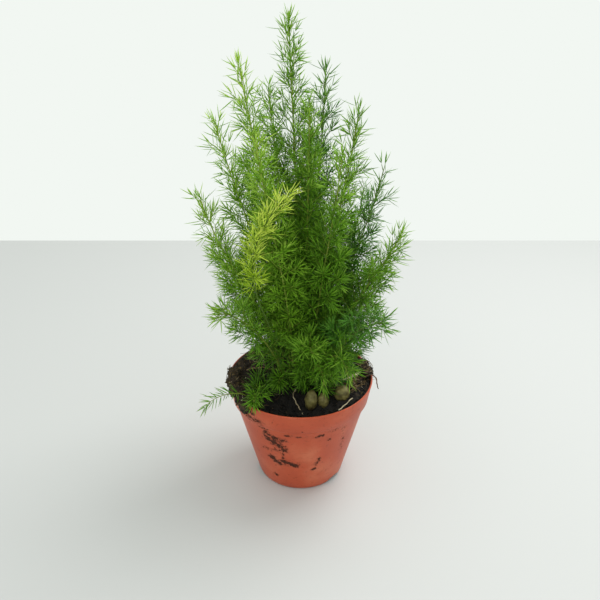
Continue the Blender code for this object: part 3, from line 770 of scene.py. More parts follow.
@dataclass
class PottingSoil:
    """The peat that fills the pot: a hollow at the front, banks at the left, right and back, and clods.

    left_bank and straw_bank are patches of fibres: how many, and the patch's low and high corner in metres.
    """

    pot: NurseryPot
    below_rim: float = 8.5 * MM
    gap: float = 0.3 * MM
    edge_gap: float = 2.6 * MM
    crown: tuple[float, float] = (3.0 * MM, 6.0 * MM)
    rings: int = 110
    columns: int = 260
    crumbs: int = 4600
    crumbs_per_clod: int = 190
    fibres_per_clod: int = 30
    fibre_stations: int = 9
    left_bank: tuple[int, Place, Place] = (150, (-0.054, -0.034), (-0.020, 0.046))
    straw_bank: tuple[int, Place, Place] = (190, (0.026, -0.018), (0.052, 0.010))
    fibre_radius: float = 55.0 * MM
    fibre_limit: float = 61.5 * MM
    stuck_radius: float = 55.0 * MM
    stuck: tuple[Smear, ...] = Polypropylene.smears
    clods: tuple[Clod, ...] = (
        Clod(178.0, 56.2, 92.5, (4.8, 8.0, 2.2)),
        Clod(192.0, 56.8, 92.5, (5.2, 8.0, 2.4)),
        Clod(206.0, 57.5, 92.0, (5.4, 8.0, 2.6)),
        Clod(218.0, 58.4, 90.8, (4.8, 7.0, 3.0)),
        Clod(223.0, 60.4, 88.0, (2.6, 5.8, 4.6)),
        Clod(6.0, 56.2, 92.5, (5.0, 6.8, 2.2)),
        Clod(18.0, 56.4, 92.5, (4.6, 6.0, 2.0)),
    )

    def height(self, x: Array, y: Array) -> Array:
        """The surface's height, by the formula of its solid: a level, banks, mounds and a fine ripple.

        A bank rises to one side by a logistic step across a line, and a mound is a bell about a middle.

        Args:
            x: Places to the right.
            y: Places to the back.

        Returns:
            The height at each place.
        """
        banks = ((7.5, (-1.0, 0.3), 30.0, 7.0), (5.0, (1.0, 0.0), 42.0, 5.0), (4.0, (0.0, 1.0), 20.0, 8.0))
        mounds = ((-10.0, (4.0, -47.0), (30.0, 15.0)), (3.0, (3.0, 6.0), (24.0, 24.0)))
        total = self.pot.height - self.below_rim
        for rise, way, edge, width in banks:
            total = total + rise * MM / (1.0 + np.exp((edge * MM - way[0] * x - way[1] * y) / (width * MM)))
        for rise, middle, spread in mounds:
            across, along = (x - middle[0] * MM) / (spread[0] * MM), (y - middle[1] * MM) / (spread[1] * MM)
            total = total + rise * MM * np.exp(-(across**2) - along**2)
        rough = np.sin(430.0 * x + 1.3) * np.cos(390.0 * y) + np.sin(760.0 * x - 510.0 * y)
        return total + 0.35 * MM * rough

    def dryness_and_shade(self, points: Array) -> Array:
        """Works out the peat's tone: nearly black in the hollow, browner on the banks, most at the left. The
        darkening towards the low hollow is painted shade inside the pot.

        Args:
            points: Points on the soil.

        Returns:
            The tone at each.
        """
        rise = np.clip((points[..., 2] - 0.080) / 0.014, 0.0, 1.0)
        left = np.clip((-points[..., 0] - 0.012) / 0.040, 0.0, 1.0)
        return 0.10 + 0.24 * rise + 0.24 * left * rise

    def surface(self) -> Shell:
        """Makes the whole body of soil, from the pot's floor up its wall to a crumbly top.

        The top is the solid's height plus ripples of 9 mm and 2.5 mm, which fade at the wall.

        Returns:
            The soil's shell.
        """
        ring = circle(self.columns)
        edge = self.pot.rim_radius - self.edge_gap
        shares = np.sqrt(np.linspace(1.0, 0.0, self.rings, endpoint=False))
        flat = edge * shares[:, None, None] * ring
        top = np.dstack([flat, np.zeros(flat.shape[:2])])
        fade = np.clip((1.0 - shares) / 0.04, 0.15, 1.0)[:, None]
        coarse, fine = ripples(top, 9.0 * MM, SOIL_SEED, 3), ripples(top, 2.5 * MM, SOIL_SEED + 1, 2)
        top[..., 2] = self.height(top[..., 0], top[..., 1]) + fade * (1.0 * MM * coarse + 0.55 * MM * fine)
        wall_heights = np.linspace(self.pot.floor + self.gap, 70.0 * MM, 12)
        radii = self.pot.wall_radius(wall_heights) - self.pot.wall - self.gap
        wall = np.empty((len(radii), self.columns, 3))
        wall[..., :2] = radii[:, None, None] * ring
        wall[..., 2] = wall_heights[:, None]
        inner = self.pot.wall_radius(top[0, :, 2]) - self.pot.wall - self.gap
        top[0, :, :2] = np.minimum(edge, inner)[:, None] * ring
        middle = np.array([[0.0, 0.0, float(self.height(np.zeros(1), np.zeros(1))[0])]])
        base = np.array([[0.0, 0.0, self.pot.floor + self.gap]])
        points, faces = close_rings(base, np.concatenate([wall, top])[None], middle)
        return Shell(points, faces, self.dryness_and_shade(points) + 0.14 * ripples(points, 7.0 * MM, SOIL_SEED + 2))

    def body(self, finish: Earthy) -> Object:
        """The soil and its clods, as one object."""
        lumps = [clod.surface(CLOD_SEED + place) for place, clod in enumerate(self.clods)]
        return make_object("peat_body", [self.surface(), *lumps], finish.material())

    def crumb_places(self, draws: Draws) -> tuple[Array, Array]:
        """Scatters loose crumbs over the top and on the clods, and sticks some to the wall along its smears.

        Args:
            draws: The random generator.

        Returns:
            Where each crumb lies, (crumbs, 3), and how big it is.
        """
        out = (self.pot.rim_radius - 3.0 * MM) * np.sqrt(draws.uniform(0.0, 1.0, self.crumbs))
        turn = draws.uniform(0.0, 2.0 * np.pi, self.crumbs)
        x, y = out * np.cos(turn), out * np.sin(turn)
        places = [np.stack([x, y, self.height(x, y) + 0.4 * MM], -1)]
        sizes = [np.exp(draws.normal(-0.30, 0.45, self.crumbs)) * MM]
        for clod in self.clods:
            places.append(clod.scattered(self.crumbs_per_clod, draws))
            sizes.append(np.exp(draws.normal(-0.25, 0.45, self.crumbs_per_clod)) * MM)
        for smear in self.stuck:
            many = max(2, round(3.4 * smear.width_mm * (smear.strength - 0.46) / 0.2))
            share, spread = draws.uniform(0.0, 1.0, many), draws.normal(0.0, 0.26 * smear.width_mm, (2, many))
            marks = np.outer(1.0 - share, smear.start) + np.outer(share, smear.end)
            angles = marks[:, 0] + np.degrees(spread[0] * MM / self.stuck_radius)
            heights = marks[:, 1] + 1.6 * spread[1]
            places.append(np.array([self.pot.wall_point(angle, z) for angle, z in zip(angles, heights)]))
            sizes.append(np.exp(draws.normal(-0.95, 0.40, many)) * MM)
        return np.concatenate(places), np.concatenate(sizes)

    def fibres(self, draws: Draws) -> Shell:
        """Strews fine root fibres on the clods and banks: threads whose heading wanders, each in a low arch.

        Args:
            draws: The random generator.

        Returns:
            The fibres' shell.
        """
        starts = [clod.scattered(self.fibres_per_clod, draws) for clod in self.clods]
        banks = (self.left_bank, self.straw_bank)
        bank, right = (draws.uniform(low, high, (count, 2)) for count, low, high in banks)
        flat = np.concatenate([bank[np.hypot(*bank.T) < self.fibre_radius], right])
        starts.append(np.column_stack([flat, self.height(*flat.T) + 0.8 * MM]))
        start = np.concatenate(starts)
        count, stations = len(start), self.fibre_stations
        heading = draws.uniform(0.0, 2.0 * np.pi, count)
        bend = np.cumsum(draws.normal(0.0, 0.55, (count, stations)), axis=1) + heading[:, None]
        step = draws.uniform(0.7, 2.0, (count, 1)) * MM
        along = [np.cumsum(step * np.cos(bend), 1), np.cumsum(step * np.sin(bend), 1), np.zeros(bend.shape)]
        path = start[:, None] + np.stack(along, -1)
        out = np.hypot(path[..., 0], path[..., 1])
        path[..., :2] *= np.minimum(1.0, self.fibre_limit / out)[..., None]
        arch = np.sin(np.linspace(0.1, np.pi, stations)) * draws.uniform(0.2, 2.0, (count, 1)) * MM
        ground = self.height(path[..., 0], path[..., 1]) + 0.4 * MM
        on_clod = start[:, 2] > self.height(*start[:, :2].T) + 2.0 * MM
        path[..., 2] = np.where(on_clod[:, None], start[:, 2:], ground) + arch
        radii = draws.uniform(0.10, 0.24, (count, 1)) * MM * np.linspace(1.0, 0.6, stations)
        points, faces = sweep(path, radii, 4)
        tone = draws.choice([0.35, 0.62, 0.82, 0.95], count, p=[0.35, 0.30, 0.25, 0.10])
        tone[-len(right) :] = draws.uniform(0.76, 0.98, len(right))
        return Shell(points, faces, np.repeat(tone, len(points) // count))

    def loose_crumbs(self, finish: Earthy) -> Object:
        """Makes crumbs of peat, bark and grit: short blunt spindles in random directions, each point shaken.

        Args:
            finish: The peat.

        Returns:
            The crumbs and the fibres, as one object.
        """
        draws = np.random.default_rng(CRUMB_SEED)
        places, sizes = self.crumb_places(draws)
        count = len(places)
        way = unit(draws.normal(size=(count, 3)))
        long = draws.uniform(0.8, 1.9, (count, 1))
        along = np.array([-0.55, -0.28, 0.28, 0.55])
        paths = places[:, None] + (way * long * sizes[:, None])[:, None] * along[None, :, None]
        radii = sizes[:, None] * draws.uniform(0.30, 0.55, (count, 4))
        points, faces = sweep(paths, radii, 5, flat=0.8)
        per_crumb = len(points) // count
        points = points + draws.normal(0.0, 0.09, points.shape) * np.repeat(sizes, per_crumb)[:, None]
        tones, odds = [-0.16, -0.06, 0.02, 0.12, 0.34, 0.62], [0.24, 0.28, 0.24, 0.16, 0.07, 0.01]
        tone = np.repeat(draws.choice(tones, count, p=odds), per_crumb) + self.dryness_and_shade(points)
        return make_object("peat_crumbs", [Shell(points, faces, tone), self.fibres(draws)], finish.material())


@dataclass
class Tuber:
    """A water tuber that stands out of the soil: an egg, a little pointed, with a lumpy skin."""

    name: str
    middle: Point
    half_width: float
    half_length: float
    lean: Point

    def build(self, finish: Earthy, seed: int) -> Object:
        """Sweeps a ring along the long axis; its radius is that of an ellipse drawn in at its ends.

        Args:
            finish: The skin.
            seed: Seed of the lumps.

        Returns:
            The tuber.
        """
        way = unit(np.array(self.lean))
        share = -np.cos(np.linspace(0.0, np.pi, 30))
        path = np.array(self.middle) + self.half_length * share[:, None] * way
        radii = self.half_width * np.sqrt(np.maximum(1.0 - share**2, 0.0)) * (1.0 - 0.14 * share**4)
        points, faces = sweep(path[None], radii[None], 40)
        out = unit(points - np.array(self.middle))
        points = points + 0.22 * MM * ripples(points, 6.0 * MM, seed, 3)[:, None] * out
        # Points more than 2 mm below the middle are darker.
        below_middle = points[:, 2] < self.middle[2] - 2.0 * MM
        tone = 0.52 + 0.20 * ripples(points, 5.0 * MM, seed + 9) - 0.25 * below_middle
        return make_object(self.name + "_skin", [Shell(points, faces, tone)], finish.material())


@dataclass
class SurfaceRoot:
    """A root on the soil or over the rim: a crooked, tapering thread along a route.

    A route given without heights lies on the soil.
    """

    name: str
    route: list
    radius: float
    tone: float = 0.5

    def build(self, soil: PottingSoil, finish: Earthy, seed: int) -> Object:
        """Smooths the route, lays it on the soil if it has no heights, and shakes it by short ripples.

        Args:
            soil: The soil.
            finish: The bark.
            seed: Seed of the ripples.

        Returns:
            The root.
        """
        path = smooth_route([(*point, 0.0)[:3] for point in self.route], 40)
        if len(self.route[0]) == 2:
            path[:, 2] = soil.height(path[:, 0], path[:, 1]) + self.radius + 0.5 * MM
            path[[0, -1], 2] -= 0.6 * self.radius
        for axis in range(3):
            path[1:-1, axis] += 0.22 * MM * ripples(path[1:-1], 5.0 * MM, seed + axis, 2)
        share = np.linspace(0.0, 1.0, len(path))
        radii = self.radius * (1.0 - 0.35 * share) * (1.0 + 0.18 * ripples(path, 3.0 * MM, seed + 5, 2))
        points, faces = sweep(path[None], radii[None], 10)
        tone = self.tone + 0.16 * ripples(points, 4.0 * MM, seed + 7)
        return make_object(self.name + "_bark", [Shell(points, faces, tone)], finish.material())


@dataclass
class Spray:
    """Many stems of one order: paths, (stems, stations, 3), lengths, and how far up the plume each is."""

    paths: Array
    lengths: Array
    levels: Array

    def at(self, which: Array, share: Array) -> tuple[Array, Array]:
        """Finds a place on each chosen stem.

        Args:
            which: The stems' numbers.
            share: How far along each the place is, from 0 to 1.

        Returns:
            The point and the direction there, (count, 3) each.
        """
        stations = self.paths.shape[1] - 1
        place = np.clip(share, 0.0, 1.0) * stations
        low = np.minimum(place.astype(int), stations - 1)
        start = self.paths[which, low]
        step = self.paths[which, low + 1] - start
        return start + step * (place - low)[:, None], unit(step)

    def kept(self, clear: Array) -> "Spray":
        """The stems for which clear is true."""
        return Spray(self.paths[clear], self.lengths[clear], self.levels[clear])


def side_directions(axes: Array, turns: Array, leans: Array) -> Array:
    """Leans a direction away from each axis a: cos(lean) a + sin(lean) (cos(turn) u + sin(turn) v).

    Args:
        axes: The axes, (count, 3).
        turns: Angle about each axis, from u to v, which are square to it.
        leans: Angle away from each axis.

    Returns:
        The directions, (count, 3).
    """
    across = unit(np.cross(axes, SKEW))
    other = np.cross(axes, across)
    side = np.cos(turns)[:, None] * across + np.sin(turns)[:, None] * other
    return np.cos(leans)[:, None] * axes + np.sin(leans)[:, None] * side


def number_off(numbers: Array) -> tuple[Array, Array]:
    """For so many things on each stem: the stem's number, and the thing's rank on it from 0."""
    which = np.repeat(np.arange(len(numbers)), numbers)
    return which, np.arange(len(which)) - np.repeat(np.cumsum(numbers) - numbers, numbers)


@dataclass(frozen=True)
class Habit:
    """How the species grows: the spacing, size and angle of its branches, twigs and needles.

    A lean is an angle from the stem at its foot, then what it loses up to the stem's end and, for needles,
    what the last tuft loses more. wood is how woody a stem, a branch and a twig look. crown_share is how far
    a stem's foot lies from the crown towards its tip, and inward how much the upper curve keeps inside it.
    """

    branch_spacing: float = 4.3 * MM
    twig_spacing: float = 5.6 * MM
    cluster_spacing: float = 2.0 * MM
    cluster: int = 3
    needle_length: float = 12.0 * MM
    needle_width: float = 0.88 * MM
    stem_radius: float = 1.0 * MM
    stem_tip_radius: float = 0.35 * MM
    branch_radius: float = 0.38 * MM
    twig_radius: float = 0.24 * MM
    foot_depth: float = 6.0 * MM
    crown_share: float = 0.27
    inward: float = 0.30
    branch_lean_deg: tuple[float, float] = (78.0, 40.0)
    twig_lean_deg: float = 48.0
    needle_lean_deg: tuple[float, float, float] = (58.0, 12.0, 26.0)
    needle_starts: tuple[float, float] = (0.10, 0.12)
    wood: tuple[float, float, float] = (1.0, 0.75, 0.45)


@dataclass
class Plume:
    """One leafy stem. crest, rise, sway, reach and bare have the meanings and values that its solid has.

    girth scales the stem's thickness and leafy the number of branches. airy is the share of needle clusters
    that is missing at the tip. tone is the colour halfway up, and ripening how much paler it grows from foot
    to tip: newer growth at the tip, and painted shade low on the plume. fan sets the needles in two flat
    rows.
    turn, in radians, is where the spiral of branches starts.
    """

    name: str
    tip: Point
    family: Family = Family.GREEN
    crest: float = -0.070
    reach: float = 0.030
    sway: tuple[float, float] = (0.0, 0.0)
    rise: float = 0.40
    bare: float = 0.06
    root: tuple[float, float] | None = None
    girth: float = 1.0
    airy: float = 0.55
    leafy: float = 1.0
    ripening_and_shade: float = 0.42
    tone: float = 0.34
    fan: bool = False
    turn: float = 0.0
    habit: Habit = Habit()

    def stem(self, soil: PottingSoil) -> Array:
        """Draws the stem's line, one cubic Bezier curve from the soil to the tip.

        Args:
            soil: The soil that it stands in.

        Returns:
            The line, (33, 3).
        """
        tip = np.array(self.tip)
        crown = np.array(soil.crown)
        foot = np.array(self.root) if self.root else crown + self.habit.crown_share * (tip[:2] - crown)
        low = np.array([*foot, float(soil.height(foot[0], foot[1]))])
        sway = np.array([*self.sway, 0.0])
        second = low + UP * self.rise * (tip[2] - low[2]) + 0.5 * sway
        third = np.array([*(tip[:2] - self.habit.inward * (tip[:2] - foot)), tip[2] + self.crest]) + sway
        t = np.linspace(0.0, 1.0, 33)[:, None]
        u = 1.0 - t
        return u**3 * low + 3 * u**2 * t * second + 3 * u * t**2 * third + t**3 * tip

    def branch_spray(self, stem: Spray, draws: Draws) -> Spray:
        """Sets side branches in a spiral up the stem, longest a third of the way up, each lifting at its end.

        A branch is start + length (s way + s^2 lift), with s from 0 to 1.

        Args:
            stem: The plume's one stem.
            draws: The random generator.

        Returns:
            The branches.
        """
        count = max(2, round(stem.lengths[0] * (1.0 - self.bare) / self.habit.branch_spacing * self.leafy))
        steps = (np.arange(count) + draws.uniform(0.2, 0.8, count)) / count
        share = self.bare + (0.985 - self.bare) * steps
        start, axis = stem.at(np.zeros(count, int), share)
        swell = np.minimum(1.0, 0.55 + 1.5 * (share - self.bare))
        length = self.reach * swell * (1.08 - share) ** 0.6 * draws.uniform(0.62, 1.12, count)
        widest, closing = self.habit.branch_lean_deg
        lean = np.radians(widest - closing * share**0.7 + draws.normal(0.0, 6.0, count))
        turn = self.turn + GOLDEN_ANGLE * np.arange(count) + draws.normal(0, 0.25, count)
        way = side_directions(axis, turn, lean)
        s = np.linspace(0.0, 1.0, 7)[None, :, None]
        lift = 0.16 * UP - 0.10 * way
        path = start[:, None] + length[:, None, None] * (way[:, None] * s + lift[:, None] * s**2)
        return Spray(path, length, share)

    def twig_spray(self, branches: Spray, draws: Draws) -> Spray:
        """Sets short straight twigs on the longer branches, to one side and the other by turns.

        Args:
            branches: The side branches.
            draws: The random generator.

        Returns:
            The twigs.
        """
        numbers = np.maximum(0, np.round(branches.lengths / self.habit.twig_spacing - 1.2).astype(int))
        which, rank = number_off(numbers)
        share = 0.22 + 0.62 * (rank + draws.uniform(0.2, 0.8, len(which))) / numbers[which]
        start, axis = branches.at(which, share)
        length = branches.lengths[which] * (0.52 - 0.30 * share) * draws.uniform(0.8, 1.2, len(which))
        lean = np.radians(draws.normal(self.habit.twig_lean_deg, 6.0, len(which)))
        way = side_directions(axis, rank * np.pi + draws.normal(0.0, 0.6, len(which)) + which, lean)
        s = np.linspace(0.0, 1.0, 4)[None, :, None]
        path = start[:, None] + length[:, None, None] * way[:, None] * s
        return Spray(path, length, branches.levels[which])

    def needles(self, spray: Spray, first: float, draws: Draws, room: "Room") -> Shell:
        """Makes the needles of one order of stems: clusters up each stem, opening to a tuft at its end.

        A needle's middle line is root + L (s d + 0.10 s^2 a), with d its direction and a the stem's own, so
        that it bends a little forward. Its width is 0, 1, 0.8 and 0 of the full one at a root, two stations
        and a tip.

        Args:
            spray: The stems.
            first: Share of each stem where its needles start.
            draws: The random generator.
            room: Tells which needles are clear of the pot, the soil and the size of the model.

        Returns:
            The needles' shell.
        """
        habit = self.habit
        spacing = habit.cluster_spacing * (1.35 if self.fan else 1.0)
        numbers = np.maximum(3, np.round(spray.lengths * (1.0 - first) / spacing).astype(int))
        which, rank = number_off(numbers)
        share = first + (1.0 - first) * (rank + 1.0) / numbers[which]
        which, rank, share = (np.repeat(values, habit.cluster) for values in (which, rank, share))
        count = len(which)
        share = np.minimum(share + draws.normal(0.0, 0.006, count), 1.0)
        root, axis = spray.at(which, share)
        turn = 2.0 * np.pi * np.arange(count) / habit.cluster + 1.1 * rank + draws.normal(0.0, 0.3, count)
        near_end = np.clip((share - 0.80) / 0.20, 0.0, 1.0)
        widest, closing, at_end = habit.needle_lean_deg
        lean = np.radians(widest - closing * share - at_end * near_end + draws.normal(0.0, 7.0, count))
        if self.fan:
            turn = np.pi * np.arange(count) + draws.normal(0.0, 0.20, count)
            lean = lean + math.radians(14.0)
        way = side_directions(axis, turn, lean)
        length = habit.needle_length * (1.0 - 0.25 * near_end) * draws.uniform(0.72, 1.12, count)
        up = spray.levels[which] if len(spray.paths) > 1 else share
        luck = np.repeat(draws.uniform(0.0, 1.0, count // habit.cluster), habit.cluster)
        s = np.array([0.0, 0.22, 0.68, 1.0])[None, :, None]
        paths = root[:, None] + length[:, None, None] * (way[:, None] * s + 0.10 * axis[:, None] * s**2)
        clear = room.holds(paths[:, 2]) & room.holds(paths[:, 3])
        clear &= luck > self.airy * np.clip((up - 0.5) / 0.5, 0, 1)
        paths, axis, share, up = paths[clear], axis[clear], share[clear], up[clear]
        width = 0.5 * habit.needle_width * (1.25 if self.fan else 1.0) * draws.uniform(0.85, 1.15, len(paths))
        radii = width[:, None] * np.array([0.0, 1.0, 0.8, 0.0])
        points, faces = sweep(paths, radii, 3, flat=0.55, facing=axis)
        # Painted shade and light over the growth's own greens: a needle is darker low on the plume, near the
        # foot of the stem that bears it and at its own root, and paler towards every tip.
        tone = self.tone + self.ripening_and_shade * (up - 0.5) + 0.20 * share + draws.normal(0.0, 0.10, len(paths))
        along = np.array([-0.12, -0.06, -0.06, -0.06, 0.05, 0.05, 0.05, 0.12])
        return Shell(points, faces, (tone[:, None] + along).ravel())

    def build(self, room: "Room", leaf: Material, seed: int) -> Object:
        """Makes the stem, branches and twigs as tapered tubes, and the needles on all three.

        Args:
            room: The space that it may fill.
            leaf: The leaf's material.
            seed: Seed of its draws.

        Returns:
            The plume.
        """
        draws = np.random.default_rng(seed)
        habit = self.habit
        line = self.stem(room.soil)
        length = float(np.linalg.norm(np.diff(line, axis=0), axis=1).sum())
        stem = Spray(line[None], np.array([length]), np.array([0.8]))
        branches = self.branch_spray(stem, draws)
        branches = branches.kept(room.holds(branches.paths[:, -1]) & room.holds(branches.paths[:, 3]))
        twigs = self.twig_spray(branches, draws)
        twigs = twigs.kept(room.holds(twigs.paths[:, -1]))
        rooted = np.vstack([line[0] - UP * habit.foot_depth, line])[None]
        taper = self.girth * np.linspace(habit.stem_radius, habit.stem_tip_radius, rooted.shape[1])[None]
        stem_wood, *side_wood = habit.wood
        shells = [Shell(*sweep(rooted, taper, 8), 0.5, stem_wood)]
        sides = [spray for spray in (branches, twigs) if len(spray.paths)]
        for spray, radius, wood in zip(sides, (habit.branch_radius, habit.twig_radius), side_wood):
            fine = np.tile(radius * np.linspace(1.0, 0.5, spray.paths.shape[1]), (len(spray.paths), 1))
            shells.append(Shell(*sweep(spray.paths, fine, 5), 0.5, wood))
        for spray, first in zip([stem, *sides], (self.bare, *habit.needle_starts)):
            shells.append(self.needles(spray, first, draws, room))
        return make_object(self.name + "_foliage", shells, leaf)


@dataclass
class Room:
    """The space that foliage may fill: above the soil, clear of the pot, and inside the solids' box."""

    pot: NurseryPot
    soil: PottingSoil
    low: Array
    high: Array
    margin: float = 0.6 * MM

    def holds(self, points: Array) -> Array:
        """Tests points against the soil, the pot's wall and the box.

        Args:
            points: The points, (count, 3).

        Returns:
            True for each point that is in the room.
        """
        x, y, z = points.T
        out = np.hypot(x, y)
        over_soil = (out > self.pot.rim_radius) | (z > self.soil.height(x, y) + self.margin)
        wall = self.pot.wall_radius(np.clip(z, 0.0, self.pot.height))
        over_rim = z > self.pot.height + self.margin
        off_wall = over_rim | (out > wall + 2.0 * self.margin) | (out < wall - 3.0 * MM)
        boxed = ((points > self.low) & (points < self.high)).all(axis=1)
        return over_soil & off_wall & boxed


@dataclass(frozen=True)
class Board(Finish):
    """White painted board: matt, so that it takes a soft shadow and gives no clear reflection."""

    colour: str = "C4C5C4"
    roughness: float = 0.6

    def paint(self, tree: NodeTree, place: NodeSocket) -> dict:
        """The plain paint. See Finish.paint."""
        return {"Base Color": linear(self.colour), "Roughness": self.roughness}


@dataclass
class Studio:
    """A pale floor, soft light from the upper right, and the camera at the photograph's angle."""

    camera_at: Point = (-0.0005, -0.4582, 0.3916)
    pitch_deg: float = 26.65
    lens_mm: float = 39.0
    sensor_mm: float = 36.0
    air: str = "F2F7F2"
    floor_half_width: float = 1.6
    floor_depth: tuple[float, float] = (-1.6, 0.54)
    floor_levels: tuple[float, float] = (-2.0 * MM, -0.05 * MM)
    aim: Point = (0.0, 0.0, 0.14)

    def build(self) -> None:
        """Makes the camera, the lights, the world and the floor."""
        scene = bpy.context.scene
        data = bpy.data.cameras.new("camera")
        data.lens = self.lens_mm
        data.sensor_width = self.sensor_mm
        camera = bpy.data.objects.new("camera", data)
        camera.location = self.camera_at
        camera.rotation_euler = (math.radians(90.0 - self.pitch_deg), 0.0, 0.0)
        scene.collection.objects.link(camera)
        scene.camera = camera
        scene.view_settings.view_transform = "Standard"
        scene.world = bpy.data.worlds.new("pale_room")
        scene.world.use_nodes = True
        feed(scene.world.node_tree.nodes["Background"], {"Color": linear(self.air), "Strength": 1.0})
        self.area_light("key", (0.46, 0.30, 1.04), 0.60, 7.5)
        self.area_light("fill", (-0.35, -1.1, 0.85), 1.0, 2.4)
        self.floor()

    def area_light(self, name: str, at: Point, size: float, watts: float) -> None:
        """Adds a square soft light that looks at the middle of the plant.

        Args:
            name: The light's name.
            at: Where it is.
            size: Its side.
            watts: Its power.
        """
        data = bpy.data.lights.new(name, "AREA")
        data.size = size
        data.energy = watts
        light = bpy.data.objects.new(name, data)
        light.location = at
        light.rotation_euler = (Vector(self.aim) - Vector(at)).to_track_quat("-Z", "Y").to_euler()
        bpy.context.scene.collection.objects.link(light)

    def floor(self) -> None:
        """Lays a slab of matt white board under the pot, whose far edge makes the horizon."""
        near, far = self.floor_depth
        low, high = self.floor_levels
        side = self.floor_half_width
        corners = np.array([[-side, near], [side, near], [side, far], [-side, far]])
        rings = np.stack([np.column_stack([corners, np.full(4, z)]) for z in self.floor_levels])
        middle = [0.0, 0.5 * (near + far)]
        points, faces = close_rings(np.array([[*middle, low]]), rings[None], np.array([[*middle, high]]))
        floor = make_object("floor", [Shell(points, faces)], Board("matt_white_board").material())
        floor.data.set_sharp_from_angle(angle=math.radians(40.0))


TUFT = {"rise": 0.8, "girth": 0.7, "airy": 0.0, "leafy": 2.2}
SPRIG = {"rise": 1.6, "girth": 0.55, "airy": 0.0, "fan": True}

PLUMES = [
    Plume("plume_tall_centre", (-0.008, 0.010, 0.366)),
    Plume("plume_tall_left", (-0.041, -0.006, 0.339), Family.LIGHT, bare=0.12),
    Plume("plume_tall_right", (0.018, 0.022, 0.332), Family.DARK),
    Plume("plume_mid_centre", (0.006, -0.012, 0.316), bare=0.12),
    Plume("plume_back_left_tall", (-0.024, 0.036, 0.318)),
    Plume("plume_right_tall", (0.041, 0.006, 0.309)),
    Plume("plume_left_upper", (-0.062, 0.014, 0.300), Family.LIGHT, bare=0.14),
    Plume("plume_front_left_column", (-0.030, -0.030, 0.296), Family.LIGHT, bare=0.14, leafy=1.15),
    Plume("plume_front_right_column", (0.028, -0.026, 0.284)),
    Plume("plume_right_upper", (0.062, 0.012, 0.268), Family.DARK),
    Plume("plume_left_side", (-0.073, -0.008, 0.250), Family.LIGHT, bare=0.14, leafy=1.2),
    Plume("plume_right_side", (0.073, -0.014, 0.222), crest=-0.040, leafy=1.2),
    # The low front plumes take darker tones, and plume_front_left_low darkens more towards its foot: older
    # green and painted shade under the taller plumes.
    Plume("plume_front_left_low", (-0.060, -0.044, 0.172), crest=0.000, bare=0.24, ripening_and_shade=0.8),
    Plume("plume_front_right_low", (0.060, -0.048, 0.166), Family.DARK, crest=0.000, leafy=1.2),
    Plume("plume_front_arch", (0.036, -0.052, 0.120), crest=0.040, reach=0.028, leafy=1.2, tone=0.26),
    Plume("plume_front_short", (0.008, -0.042, 0.138), crest=0.010, reach=0.026, tone=0.24),
    Plume("plume_front_nodding", (0.018, -0.045, 0.109), crest=0.034, reach=0.024, tone=0.26),
    Plume(
        "plume_young", (-0.006, -0.040, 0.262), Family.YOUNG, -0.052, 0.024, (-0.055, -0.012),
        bare=0.50, ripening_and_shade=0.9, airy=0.32, leafy=0.9,
    ),
    Plume("plume_back_left", (-0.044, 0.056, 0.262), Family.DARK),
    Plume("plume_back_centre", (0.008, 0.064, 0.288)),
    Plume("plume_back_right", (0.052, 0.052, 0.240), Family.DARK),
    Plume("plume_back_side_left", (-0.072, 0.036, 0.190), crest=-0.020),
    Plume("plume_back_low", (-0.006, 0.078, 0.172), crest=0.000),
    Plume("plume_back_side_right", (0.070, 0.034, 0.172), crest=-0.010),
    # The short shoots low in front take the darkest tones: older green and painted shade under the plumes.
    Plume(
        "shoot_low_left", (-0.036, -0.0475, 0.0965),
        crest=0.008, reach=0.013, root=(-0.030, -0.016), tone=0.16, **TUFT,
    ),
    Plume(
        "shoot_low_centre", (-0.018, -0.026, 0.101),
        crest=0.004, reach=0.011, root=(-0.012, -0.010), tone=0.12, **TUFT,
    ),
    Plume(
        "shoot_over_rim", (-0.0735, -0.0475, 0.0935),
        crest=0.011, reach=0.0, bare=0.30, root=(-0.042, -0.030), tone=0.30, **SPRIG,
    ),
]

# How much later, in radians, the spiral of each next plume starts, so that no two neighbours look alike.
TURN_STEP = 50.0

TUBERS = [
    Tuber("tuber_front", (0.0083, -0.0300, 0.0870), 0.0050, 0.0088, (0.08, 0.25, 0.95)),
    Tuber("tuber_middle", (0.0180, -0.0275, 0.0845), 0.0045, 0.0070, (-0.10, 0.10, 0.98)),
    Tuber("tuber_right", (0.0335, -0.0215, 0.0878), 0.0062, 0.0070, (0.30, 0.10, 0.95)),
]

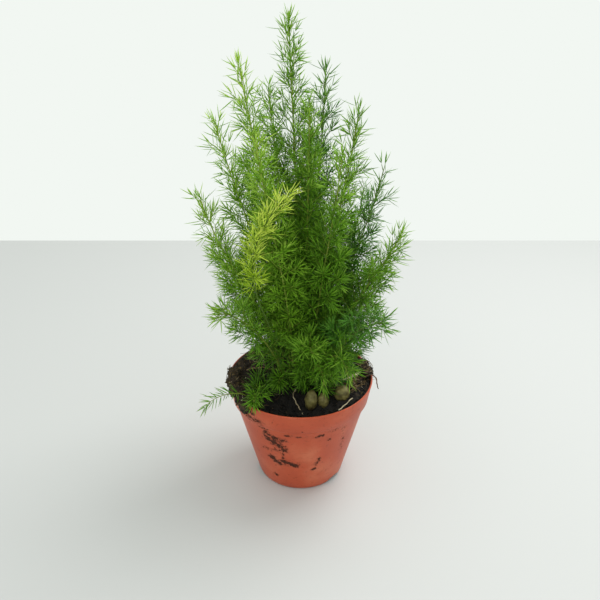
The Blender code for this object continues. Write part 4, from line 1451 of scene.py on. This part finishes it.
ROOTS = [
    SurfaceRoot(
        "root_brown_left", [(-0.046, 0.006), (-0.036, 0.011), (-0.024, 0.012), (-0.010, 0.010)], 0.6 * MM
    ),
    SurfaceRoot(
        "root_pale_front",
        [(-0.004, -0.012), (-0.006, -0.020), (-0.003, -0.029), (0.002, -0.037)],
        0.5 * MM,
        0.85,
    ),
    SurfaceRoot("root_pale_right", [(0.030, -0.0365), (0.035, -0.0325), (0.042, -0.0265)], 0.6 * MM, 1.2),
    SurfaceRoot(
        "root_tan_right", [(0.033, 0.000), (0.040, 0.001), (0.047, 0.003), (0.052, 0.007)], 1.4 * MM, 1.0
    ),
    SurfaceRoot(
        "root_over_rim",
        [
            (0.0480, -0.0020, 0.0870),
            (0.0530, -0.0030, 0.0915),
            (0.0575, -0.0035, 0.0937),
            (0.0610, -0.0040, 0.0932),
            (0.0632, -0.0050, 0.0905),
            (0.0638, -0.0062, 0.0860),
            (0.0652, -0.0070, 0.0820),
        ],
        0.6 * MM,
        0.12,
    ),
]


def settle(piece: Object, slot: str, *nodes: str) -> None:
    """Makes a piece ride on the part's one body, and has it stand for its nodes.

    Args:
        piece: The finished piece.
        slot: The record's material slot; not used.
        nodes: The nodes that it replaces, if any.
    """
    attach(piece, "root")
    if nodes:
        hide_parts(*nodes)
    stands_for = ", ".join(nodes) or "no node of its own"
    log.info("%s: %d triangles, stands for %s", piece.name, len(piece.data.polygons), stands_for)


def main() -> None:
    """Builds the pot, the soil, the tubers and roots, the foliage and the studio."""
    logging.basicConfig(level=logging.INFO)
    pot = NurseryPot()
    soil = PottingSoil(pot)
    settle(pot.build(), "pot_plastic", "pot")
    settle(soil.body(PEAT), "peat_soil", "soil")
    settle(soil.loose_crumbs(PEAT), "peat_soil")
    for place, tuber in enumerate(TUBERS):
        settle(tuber.build(TUBER_SKIN, TUBER_SEED + place), "tuber_skin", tuber.name)
    for place, root in enumerate(ROOTS):
        settle(root.build(soil, ROOT_BARK, ROOT_SEED + 10 * place), "root_bark", root.name)
    low, high = (np.array(corner) for corner in cad_box)
    room = Room(pot, soil, low - 2.0 * MM, high + 2.0 * MM)
    leaves = {family: family.value.material() for family in Family}
    for place, plume in enumerate(PLUMES):
        plume.turn = TURN_STEP * place
        settle(plume.build(room, leaves[plume.family], PLUME_SEED + place), plume.family.slot, plume.name)
    Studio().build()


if __name__ == "__main__":
    main()
